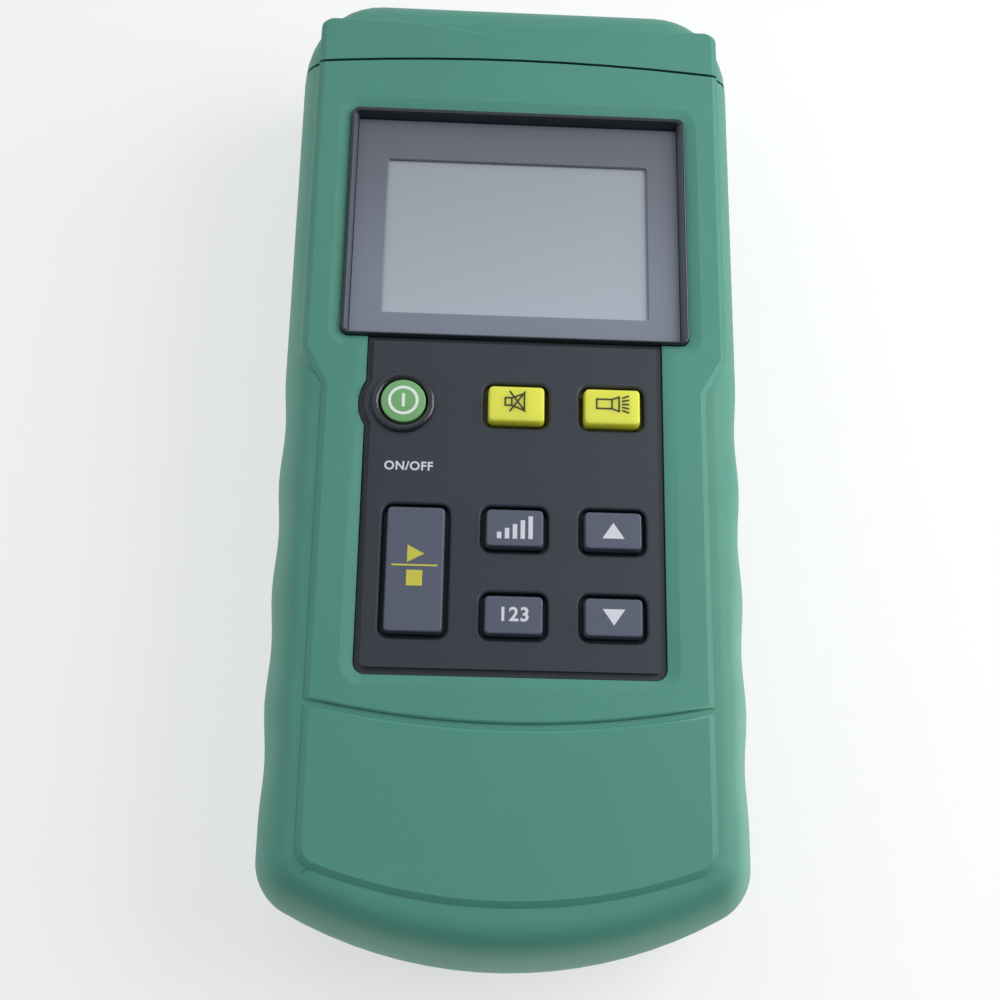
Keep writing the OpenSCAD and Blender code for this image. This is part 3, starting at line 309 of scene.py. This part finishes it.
dust_noise = noise_on_object(drift_group, 1.0)
dust_noise.inputs["Scale"].default_value = DUST_SCALE
dust_mask = add_node(drift_group, "ShaderNodeMapRange", DUST_CUT)
dust_amount = add_node(drift_group, "ShaderNodeMath", operation="MULTIPLY")
dust_mix = add_node(drift_group, "ShaderNodeMix", data_type="RGBA")
dust_mix.inputs[MIX_B].default_value = DUST_COLOUR
wire(drift_group, dust_noise, "Fac", dust_mask, "Value")
wire(drift_group, dust_mask, "Result", dust_amount, 0)
wire(drift_group, drift_in, "Dust", dust_amount, 1)
wire(drift_group, dust_amount, "Value", dust_mix, 0)
wire(drift_group, drift_value, "Color", dust_mix, MIX_A)
wire(drift_group, dust_mix, MIX_OUT, drift_out, "Color")
print("made node group", drift_group.name)

# %% [markdown]
# ## Gloss drift
# Fingers polish a moulding in places. The roughness of a finish drifts slowly around its own value, and the
# sum is held between nought and one.

# %% Gloss drift
gloss_group, gloss_in, gloss_out = new_group(
    "gloss_drift", [("Rough", FLOAT, 0.5), ("Drift", FLOAT, 0.1), ("Scale", FLOAT, 90.0)], [("Rough", FLOAT)]
)
gloss_noise = noise_on_object(gloss_group, 5.0)
gloss_level = add_node(gloss_group, "ShaderNodeMapRange", AROUND_ZERO)
gloss_sum = add_node(gloss_group, "ShaderNodeMath", operation="MULTIPLY_ADD", use_clamp=True)
wire(gloss_group, gloss_in, "Scale", gloss_noise, "Scale")
wire(gloss_group, gloss_noise, "Fac", gloss_level, "Value")
wire(gloss_group, gloss_level, "Result", gloss_sum, 0)
wire(gloss_group, gloss_in, "Drift", gloss_sum, 1)
wire(gloss_group, gloss_in, "Rough", gloss_sum, 2)
wire(gloss_group, gloss_sum, "Value", gloss_out, "Rough")
print("made node group", gloss_group.name)

# %% [markdown]
# ## Painted shade along an axis
# This is painted shade: it paints a moulding darker at one end, for the shade in a recess, and for a darker
# reflection on the display. The group measures how far a point lies along an axis and darkens the colour
# between two places. Painted vertices could do it too, but two lengths are easier to change.

# %% Painted shade along an axis
painted_shade_group, fade_in, fade_out = new_group(
    "painted_shade_along",
    [
        ("Color", COLOUR, GREY),
        ("Axis", VECTOR, (0.0, 0.0, 1.0)),
        ("Low", FLOAT, 0.0),
        ("High", FLOAT, 1.0),
        ("Dark", FLOAT, 0.5),
    ],
    [("Color", COLOUR)],
)
fade_place = add_node(painted_shade_group, "ShaderNodeTexCoord")
fade_dot = add_node(painted_shade_group, "ShaderNodeVectorMath", operation="DOT_PRODUCT")
fade_range = add_node(painted_shade_group, "ShaderNodeMapRange", {"To Max": 1.0})
fade_scale = add_node(painted_shade_group, "ShaderNodeVectorMath", operation="SCALE")
wire(painted_shade_group, fade_place, "Object", fade_dot, 0)
wire(painted_shade_group, fade_in, "Axis", fade_dot, 1)
wire(painted_shade_group, fade_dot, "Value", fade_range, "Value")
wire(painted_shade_group, fade_in, "Low", fade_range, "From Min")
wire(painted_shade_group, fade_in, "High", fade_range, "From Max")
wire(painted_shade_group, fade_in, "Dark", fade_range, "To Min")
wire(painted_shade_group, fade_in, "Color", fade_scale, 0)
wire(painted_shade_group, fade_range, "Result", fade_scale, "Scale")
wire(painted_shade_group, fade_scale, "Vector", fade_out, "Color")
print("made node groups", [g.name for g in bpy.data.node_groups])

# %% [markdown]
# ## Finishes
# Each slot of the part's record gets one finish. A finish is a Principled shader fed by the groups: colours
# are written as they look in even light, from 0 to 255, and changed to linear values here. Matt mouldings
# get a deep grain and little gloss; glass, metal and print get a shallow one.

# %% Finish maker
def linear(rgb):
    def one(c):
        c /= 255.0
        return c / 12.92 if c <= 0.04045 else ((c + 0.055) / 1.055) ** 2.4

    return (one(rgb[0]), one(rgb[1]), one(rgb[2]), 1.0)


def finish(
    name, rgb, rough=0.5, grain=2500.0, depth=0.02 * MM, drift=0.08, dust=0.03, gloss_drift=0.12, metal=0.0,
    fade=None,
):
    material = bpy.data.materials.new(name)
    tree = empty_tree(material)
    out = add_node(tree, "ShaderNodeOutputMaterial")
    shader = add_node(tree, "ShaderNodeBsdfPrincipled", {"Metallic": metal}, name="finish")
    wire(tree, shader, "BSDF", out, "Surface")

    colour = add_node(tree, "ShaderNodeGroup", node_tree=drift_group)
    for label, value in (("Color", linear(rgb)), ("Drift", drift), ("Dust", dust)):
        colour.inputs[label].default_value = value
    # painted shade: darkens the colour along an axis, for shade in recesses and a darker reflection
    if fade:
        darker = add_node(tree, "ShaderNodeGroup", node_tree=painted_shade_group)
        for label, value in zip(("Axis", "Low", "High", "Dark"), fade):
            darker.inputs[label].default_value = value
        wire(tree, colour, "Color", darker, "Color")
        colour = darker
    wire(tree, colour, "Color", shader, "Base Color")

    gloss = add_node(tree, "ShaderNodeGroup", {"Rough": rough, "Drift": gloss_drift}, node_tree=gloss_group)
    wire(tree, gloss, "Rough", shader, "Roughness")

    texture = add_node(tree, "ShaderNodeGroup", {"Scale": grain}, node_tree=grain_group)
    bump = add_node(tree, "ShaderNodeBump", {"Strength": 1.0, "Distance": depth})
    wire(tree, texture, "Height", bump, "Height")
    wire(tree, bump, "Normal", shader, "Normal")
    return material


def tune(material, **sockets):
    shader = material.node_tree.nodes["finish"]
    for label, value in sockets.items():
        shader.inputs[label.replace("_", " ").title()].default_value = value


print("mid grey is", round(linear((128, 128, 128))[0], 3), "in linear light")

# %% [markdown]
# ## Plastics
# Most plastics are one colour all over. Some get painted shade along an axis: the panel and the keys are
# painted darker where they dip below the face, for the shade in the recesses, and the grey surround of the
# display is painted a little darker towards the socket end, for a dark reflection, and so is the window over
# it. The black frame and the collar of the round button are polished, which a clear coat gives. The yellow
# keys are silicone rubber, and light soaks through it to the keys' sides: subsurface light of a few
# millimetres does that, where a paler colour would bleach the tops.

# %% Plastics
UP = (0.0, 0.0, 1.0)
TO_KEYS = (0.0, -1.0, 0.0)
# painted shade: the panel and the keys darken below the face, where shade falls in the recesses
PANEL_PAINTED_SHADE = (UP, 39.5 * MM, 39.95 * MM, 0.4)
KEY_PAINTED_SHADE = (UP, 38.4 * MM, 39.7 * MM, 0.12)
YELLOW_PAINTED_SHADE = (UP, 37.8 * MM, 39.2 * MM, 0.2)
# painted reflection: the surround darkens towards the socket end
SURROUND_PAINTED_REFLECTION = (TO_KEYS, -66.0 * MM, -30.0 * MM, 0.52)
SMOOTH = 0.006 * MM
SILKY = 0.008 * MM
SATIN = 0.01 * MM
DULL = 0.012 * MM
MATT = 0.03 * MM
FINISHES = {
    "case_green": finish("case_green", (75, 144, 125), rough=0.54, depth=MATT, drift=0.10),
    "frame_black": finish("frame_black", (30, 34, 42), rough=0.2, depth=SMOOTH),
    # painted reflection: grey for the inner walls of the glossy black frame
    "painted_reflection_wall": finish("painted_reflection_wall", (92, 98, 112), rough=0.3, depth=SMOOTH),
    "panel_border": finish("panel_border", (48, 54, 60), rough=0.4, depth=SATIN),
    "collar_black": finish("collar_black", (34, 37, 44), rough=0.24, depth=SMOOTH),
    "panel_dark": finish("panel_dark", (45, 51, 62), rough=0.48, fade=PANEL_PAINTED_SHADE),
    "surround_grey": finish("surround_grey", (127, 133, 147), rough=0.36, depth=SMOOTH, fade=SURROUND_PAINTED_REFLECTION),
    "key_green": finish("key_green", (119, 176, 115), rough=0.42, depth=SILKY, fade=KEY_PAINTED_SHADE),
    "key_yellow": finish("key_yellow", (237, 239, 86), rough=0.42, depth=SILKY, fade=YELLOW_PAINTED_SHADE),
    "key_grey": finish("key_grey", (85, 91, 109), rough=0.44, depth=DULL, fade=KEY_PAINTED_SHADE),
    "white_plastic": finish("white_plastic", (226, 226, 222), rough=0.5),
    "strip_rubber": finish("strip_rubber", (206, 160, 160), rough=0.7),
    "mat_rubber": finish("mat_rubber", (141, 145, 150), rough=0.65),
    "block_black": finish("block_black", (38, 40, 43), rough=0.5),
    "socket_red": finish("socket_red", (170, 44, 40), rough=0.4),
    "socket_black": finish("socket_black", (34, 35, 37), rough=0.4),
    "chip_black": finish("chip_black", (32, 33, 35), rough=0.55),
    "core_ferrite": finish("core_ferrite", (74, 64, 56), rough=0.6),
    "capacitor_sleeve": finish("capacitor_sleeve", (46, 60, 76), rough=0.35),
    "board_green": finish("board_green", (34, 104, 70), rough=0.4, grain=900.0),
    "battery_case": finish("battery_case", (58, 61, 66), rough=0.4),
    "lead_red": finish("lead_red", (176, 46, 42), rough=0.5),
    "lead_black": finish("lead_black", (32, 33, 35), rough=0.5),
    "lamp_diode": finish("lamp_diode", (236, 232, 205), rough=0.2),
}
for name in ("frame_black", "collar_black"):
    tune(FINISHES[name], coat_weight=0.4, coat_roughness=0.06)
tune(
    FINISHES["key_yellow"],
    subsurface_weight=1.0, subsurface_radius=(1.0, 1.0, 0.4), subsurface_scale=3.0 * MM,
)
print("plastic finishes:", len(FINISHES))

# %% [markdown]
# ## Metal, glass and the display
# Metal keeps the same maker with Metallic at one. The display is a stack: a grey liquid-crystal glass with
# a glossy coat, seen through a thin window with a pale anti-glare film, so the dead display looks even and
# grey. The window is painted a little darker towards the socket end, a painted reflection, as the surround
# is.

# %% Metal, glass and display finishes
# painted reflection: the window darkens towards the socket end
WINDOW_PAINTED_REFLECTION = (TO_KEYS, -56.0 * MM, -23.0 * MM, 0.8)
POLISH = 0.002 * MM
GLASS = 0.001 * MM

FINISHES["screw_steel"] = finish("screw_steel", (184, 188, 192), rough=0.32, metal=1.0)
FINISHES["socket_brass"] = finish("socket_brass", (206, 172, 96), rough=0.28, metal=1.0)
FINISHES["contact_gold"] = finish("contact_gold", (214, 178, 92), rough=0.3, metal=1.0)
FINISHES["reflector_chrome"] = finish("reflector_chrome", (224, 226, 228), rough=0.12, metal=1.0)
FINISHES["lcd_grey"] = finish("lcd_grey", (176, 183, 192), rough=0.3, depth=POLISH, drift=0.05, dust=0.0)
tune(FINISHES["lcd_grey"], coat_weight=0.4)


def clear_finish(name, rgb, alpha, fade=None):
    material = finish(name, rgb, rough=0.08, depth=GLASS, drift=0.02, dust=0.02, gloss_drift=0.04, fade=fade)
    tune(material, alpha=alpha)
    return material


FINISHES["window_clear"] = clear_finish("window_clear", (190, 197, 208), 0.85, fade=WINDOW_PAINTED_REFLECTION)
FINISHES["lens_clear"] = clear_finish("lens_clear", (225, 232, 236), 0.45)
print("all finishes:", len(FINISHES))

# %% [markdown]
# ## Paint the solids
# The record names a slot for every solid, so one loop paints them all, also those inside the case. What is
# copied later takes its finish along.

# %% Paint the solids
SLOT_OF = {s["node"]: s["material_slot"] for s in record["subparts"]}
for node_name, solid in frame["nodes"].items():
    solid.data.materials.clear()
    solid.data.materials.append(FINISHES[SLOT_OF[node_name]])
print("painted", len(SLOT_OF), "solids")

# %% [markdown]
# ## Dressed mouldings
# A solid's mesh is loose triangles with hard shading. For what shows, a copy is merged, its sharp rims get
# a small bevel where the moulding has one, and it is shaded smooth by angle. Weighted normals keep the big
# flat faces flat beside their rounded edges. The copy is shown in place of the solid, which is hidden. The
# copy stands for the solid, which still does the colliding.

# %% Dressing tool
MERGE = 0.0005 * MM
FLAT_WITHIN = math.radians(0.5)
RIM_FROM = math.radians(40)
RIM_STEPS = 3
FACE_WEIGHT = 100


def only(piece):
    bpy.ops.object.select_all(action="DESELECT")
    piece.select_set(True)
    bpy.context.view_layer.objects.active = piece


def apply_modifier(piece, name, kind, **settings):
    modifier = piece.modifiers.new(name, kind)
    for key, value in settings.items():
        setattr(modifier, key, value)
    only(piece)
    bpy.ops.object.modifier_apply(modifier=modifier.name)


def dress(node_name, piece_name, smooth=38.0, bevel=0.0):
    solid = frame["nodes"][node_name]
    piece = bpy.data.objects.new(piece_name, solid.data.copy())
    bpy.context.collection.objects.link(piece)
    only(piece)
    bpy.ops.object.mode_set(mode="EDIT")
    bpy.ops.mesh.select_all(action="SELECT")
    bpy.ops.mesh.remove_doubles(threshold=MERGE)
    bpy.ops.mesh.dissolve_limited(angle_limit=FLAT_WITHIN)
    bpy.ops.object.mode_set(mode="OBJECT")
    if bevel:
        apply_modifier(
            piece, "rim", "BEVEL", width=bevel, segments=RIM_STEPS, limit_method="ANGLE", angle_limit=RIM_FROM
        )
    only(piece)
    bpy.ops.object.shade_smooth_by_angle(angle=math.radians(smooth))
    apply_modifier(piece, "flat_faces", "WEIGHTED_NORMAL", weight=FACE_WEIGHT, keep_sharp=True)
    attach(piece, solid["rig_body"])
    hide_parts(node_name)
    return piece


print("rims have", RIM_STEPS, "steps")

# %% [markdown]
# ## Case mouldings
# The two shells and the cap are the large green mouldings. Their solids already have the rolls, scallops
# and the raised face, so they only need shading. A small smoothing angle keeps the slopes round the raised
# face crisp, while the rolls, which turn in smaller steps, stay soft.

# %% Case mouldings
SHELLS = {"front_shell": "front_moulding", "rear_shell": "rear_moulding", "top_cap": "socket_end_moulding"}
SHELL_SMOOTH = 27.0
for node_name, piece_name in SHELLS.items():
    shell = dress(node_name, piece_name, smooth=SHELL_SMOOTH)
    print(shell.name, len(shell.data.polygons), "faces")

# %% [markdown]
# ## Smaller mouldings
# Frame, surround and panel have their rims in the solids. The battery cover, the sockets, the lens and the
# screws have rims of a few tenths of a millimetre, too small for the solids. A bevel modifier rounds them,
# so that they catch a thin line of light.

# %% Smaller mouldings
PLAIN_RIMS = {
    "battery_cover": 0.25 * MM,
    "display_frame": 0.0,
    "display_surround": 0.0,
    "keypad_panel": 0.0,
    "signal_collar": 0.3 * MM,
    "earth_collar": 0.3 * MM,
    "lamp_lens": 0.25 * MM,
    "signal_sleeve": 0.1 * MM,
    "earth_sleeve": 0.1 * MM,
    "cover_screw": 0.12 * MM,
    "case_screws": 0.12 * MM,
}
for node_name, rim in PLAIN_RIMS.items():
    piece = dress(node_name, node_name + "_finished", bevel=rim)
    print(piece.name, len(piece.data.polygons), "faces")

# %% [markdown]
# ## Parts of the panel
# The panel is one moulding, but its border and the collar round the button are polished while its field is
# spark-eroded. Faces are picked by their place: the border lies flat and low, the collar stands above the
# field.

# %% Border and collar
BORDER, COLLAR = 1, 2
COLLAR_REACH = 7.0 * MM
COLLAR_RISE = 0.02 * MM
BORDER_DEPTHS = (0.8 * MM, 1.5 * MM)
FACING_UP = 0.9

panel = bpy.data.objects["keypad_panel_finished"]
panel.data.materials.append(FINISHES["panel_border"])
panel.data.materials.append(FINISHES["collar_black"])
button_low, button_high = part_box("key_power")
button_x, button_y = (button_low.x + button_high.x) / 2, (button_low.y + button_high.y) / 2
face_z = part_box("front_shell")[1].z
for face in panel.data.polygons:
    from_button = math.hypot(face.center.x - button_x, face.center.y - button_y)
    depth = face_z - face.center.z
    if depth < -COLLAR_RISE and from_button < COLLAR_REACH:
        face.material_index = COLLAR
    elif face.normal.z > FACING_UP and BORDER_DEPTHS[0] < depth < BORDER_DEPTHS[1]:
        face.material_index = BORDER
print("border faces:", sum(f.material_index == BORDER for f in panel.data.polygons))
print("collar faces:", sum(f.material_index == COLLAR for f in panel.data.polygons))

# %% [markdown]
# ## Walls of the display frame
# The inner side walls of the frame are painted smoky grey beside its black rim, a painted reflection of the
# grey surround in the glossy black walls. A second finish on those faces gives that look. They are the steep
# faces that look inwards.

# %% Frame walls
WALL = 1
FACING_ASIDE = 0.6

# the steep inward faces get the painted reflection finish
display = bpy.data.objects["display_frame_finished"]
display.data.materials.append(FINISHES["painted_reflection_wall"])
display_low, display_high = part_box("display_frame")
display_x = (display_low.x + display_high.x) / 2
for face in display.data.polygons:
    inwards = (display_x - face.center.x) * face.normal.x > 0
    if inwards and abs(face.normal.x) > FACING_ASIDE:
        face.material_index = WALL
print("frame wall faces:", sum(f.material_index == WALL for f in display.data.polygons))

# %% [markdown]
# ## Keys
# Each key is a cap of moulded rubber that slides in the panel. Its solid has the rounded corners and the
# slope of the sides, so it is dressed as the other mouldings are, and rides on its own body.

# %% Keys
KEYS = ("power", "mute", "lamp", "start", "level", "up", "code", "down")
caps = {key: dress("key_" + key, key + "_key") for key in KEYS}
print("dressed", len(caps), "keys")

# %% [markdown]
# ## Printed signs
# The signs are ink, a few hundredths of a millimetre thick. A texture could carry them, but thin solids
# stay crisp at any distance and ride on their key. Each sign is drawn flat from strokes, plates and rings
# in millimetres about the middle of its key, joined, thickened and set down on the key's top. Pieces of one
# sign lie a hair apart in height, so that no two faces share a plane.

# %% Drawing tools
RING_STEPS = 72
LETTER_WEIGHT = 0.025
LETTER_SPACE = 1.1


def settle(scale, turn, place):
    piece = bpy.context.object
    piece.scale = (scale[0] * MM, scale[1] * MM, 1.0)
    piece.rotation_euler.z = turn
    piece.location = (place[0] * MM, place[1] * MM, 0.0)
    bpy.ops.object.transform_apply(location=True, rotation=True, scale=True)
    return piece


def plate(corners, size, place, turn=0.0):
    bpy.ops.object.select_all(action="DESELECT")
    bpy.ops.mesh.primitive_circle_add(vertices=corners, radius=0.5, fill_type="NGON")
    return settle(size, math.radians(turn), place)


def stroke(start, end, width):
    across, up = end[0] - start[0], end[1] - start[1]
    bpy.ops.object.select_all(action="DESELECT")
    bpy.ops.mesh.primitive_plane_add(size=1.0)
    middle = ((start[0] + end[0]) / 2, (start[1] + end[1]) / 2)
    return settle((math.hypot(across, up) + width, width), math.atan2(up, across), middle)


def path(points, width):
    return [stroke(a, b, width) for a, b in zip(points, points[1:])]


def ring(outer, width, place=(0, 0)):
    piece = plate(RING_STEPS, (2 * outer, 2 * outer), place)
    bpy.ops.object.mode_set(mode="EDIT")
    bpy.ops.mesh.select_all(action="SELECT")
    bpy.ops.mesh.inset(thickness=width * MM)
    bpy.ops.mesh.delete(type="FACE")
    bpy.ops.object.mode_set(mode="OBJECT")
    return piece


def word(text, height, place=(0, 0)):
    bpy.ops.object.select_all(action="DESELECT")
    bpy.ops.object.text_add()
    letters = bpy.context.object
    letters.data.body = text
    letters.data.align_x = "CENTER"
    letters.data.align_y = "CENTER"
    letters.data.offset = LETTER_WEIGHT
    letters.data.space_character = LETTER_SPACE
    bpy.ops.object.convert(target="MESH")
    tall = max(v.co.y for v in letters.data.vertices) - min(v.co.y for v in letters.data.vertices)
    return settle((height / tall, height / tall), 0.0, place)


print("letters are spaced by", LETTER_SPACE)

# %% [markdown]
# ## Ink
# Pad printing leaves a matt, slightly raised film. Four inks are enough: white on the grey keys and the
# panel, yellow on the long key, dark on the yellow keys and a pale one on the round button.

# %% Ink
INK_T = 0.03 * MM
LAYER = 0.002 * MM
INK_COLOURS = {
    "white": (214, 217, 224),
    "yellow": (205, 198, 70),
    "dark": (56, 54, 24),
    "pale": (232, 240, 230),
}
INKS = {
    ink: finish("ink_" + ink, rgb, rough=0.5, depth=POLISH, drift=0.06) for ink, rgb in INK_COLOURS.items()
}


def sign(name, pieces, ink, place, body):
    for i, piece in enumerate(pieces):
        piece.location.z = i * LAYER
    bpy.ops.object.select_all(action="DESELECT")
    for piece in pieces:
        piece.select_set(True)
    bpy.context.view_layer.objects.active = pieces[0]
    if len(pieces) > 1:
        bpy.ops.object.join()
    drawn = bpy.context.object
    drawn.name = name
    apply_modifier(drawn, "ink", "SOLIDIFY", thickness=INK_T, offset=1.0)
    bpy.ops.object.shade_flat()
    drawn.location = place
    only(drawn)
    bpy.ops.object.transform_apply(location=True, rotation=True, scale=True)
    drawn.data.materials.clear()
    drawn.data.materials.append(INKS[ink])
    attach(drawn, body)
    print(name, len(drawn.data.polygons), "faces")
    return drawn


def key_top(key):
    low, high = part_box("key_" + key)
    return ((low.x + high.x) / 2, (low.y + high.y) / 2, high.z)


def key_sign(key, pieces, ink, sink=0.0, what="sign"):
    x, y, z = key_top(key)
    return sign(key + "_" + what, pieces, ink, (x, y, z - sink), frame["nodes"]["key_" + key]["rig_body"])


print("inks:", list(INKS))

# %% [markdown]
# ## Round button
# The button is a shallow dome, so its ring and bar would float at the height of its middle. Each is sunk by
# as much as the dome drops at its place.

# %% Round button
RING_OUTER, RING_WIDTH, RING_SINK = 2.8, 0.55, 0.1 * MM
BAR_ENDS = ((0, -1.0), (0, 1.0))
BAR_WIDTH, BAR_SINK = 0.58, 0.012 * MM

key_sign("power", [ring(RING_OUTER, RING_WIDTH)], "pale", sink=RING_SINK, what="ring")
key_sign("power", [stroke(*BAR_ENDS, BAR_WIDTH)], "pale", sink=BAR_SINK, what="bar")

# %% [markdown]
# ## Yellow keys
# One key mutes the buzzer and shows a crossed-out speaker, the other switches the lamp and shows a torch
# with its rays. Both are line drawings of one thin stroke.

# %% Yellow keys
THIN = 0.32
SPEAKER_BACK = [(-2.1, 1.1), (-0.9, 1.1), (-0.9, -0.35), (-2.1, -0.35), (-2.1, 1.1)]
SPEAKER_CONE = [(-0.9, 1.1), (1.4, 2.0), (1.4, -1.3), (-0.9, -0.35)]
CROSS = [((-1.2, 2.3), (1.5, -1.4)), ((1.5, 2.3), (-1.2, -1.4))]
TORCH_GRIP = [(-2.9, 1.4), (-0.1, 1.4), (-0.1, -0.4), (-2.9, -0.4), (-2.9, 1.4)]
TORCH_HEAD = [(-0.1, 1.4), (1.2, 1.9), (1.2, -0.9), (-0.1, -0.4)]
RAYS = [((1.9, 0.5 + 0.62 * i), (2.9, 0.5 + 0.8 * i)) for i in (-2, -1, 0, 1, 2)]

speaker = path(SPEAKER_BACK, THIN) + path(SPEAKER_CONE, THIN) + [stroke(a, b, THIN) for a, b in CROSS]
key_sign("mute", speaker, "dark")
torch = path(TORCH_GRIP, THIN) + path(TORCH_HEAD, THIN) + [stroke(a, b, THIN) for a, b in RAYS]
key_sign("lamp", torch, "dark")

# %% [markdown]
# ## Grey keys
# Two arrows, a start and stop sign parted by a line, bars for the signal level, and plain numbers for the
# code. A circle of three or four corners is a quick start for an arrow or a square.

# %% Grey keys
ARROW = (4.6, 3.9)
ARROW_SHIFT = 0.5
PLAY, PLAY_PLACE = (3.7, 4.0), (-0.35, 2.7)
STOP, STOP_PLACE = (4.0, 4.0), (0, -1.7)
LINE_ENDS = ((-3.9, 0.6), (3.9, 0.6))
LINE_WIDTH = 0.3
LEVEL_WIDTH = 0.8
LEVELS = [((-2.8 + 1.4 * i, -1.6), (-2.8 + 1.4 * i, -1.2 + 0.75 * i)) for i in range(5)]
NUMBERS_TALL = 2.6

key_sign("up", [plate(3, ARROW, (0, -ARROW_SHIFT))], "white")
key_sign("down", [plate(3, ARROW, (0, ARROW_SHIFT), turn=180)], "white")
start_stop = [
    plate(3, PLAY, PLAY_PLACE, turn=-90),
    stroke(*LINE_ENDS, LINE_WIDTH),
    plate(4, STOP, STOP_PLACE, turn=45),
]
key_sign("start", start_stop, "yellow")
key_sign("level", [stroke(a, b, LEVEL_WIDTH) for a, b in LEVELS], "white")
key_sign("code", [word("123", NUMBERS_TALL)], "white")

# %% [markdown]
# ## Panel
# The only words on the panel stand under the round button. They lie on the face, so they ride on the case.

# %% Panel
LABEL_TALL = 1.7
LABEL_SHIFT = (1.35 * MM, -12.25 * MM)
label_place = (button_x + LABEL_SHIFT[0], button_y + LABEL_SHIFT[1], face_z)
sign("power_label", [word("ON/OFF", LABEL_TALL)], "white", label_place, "case")
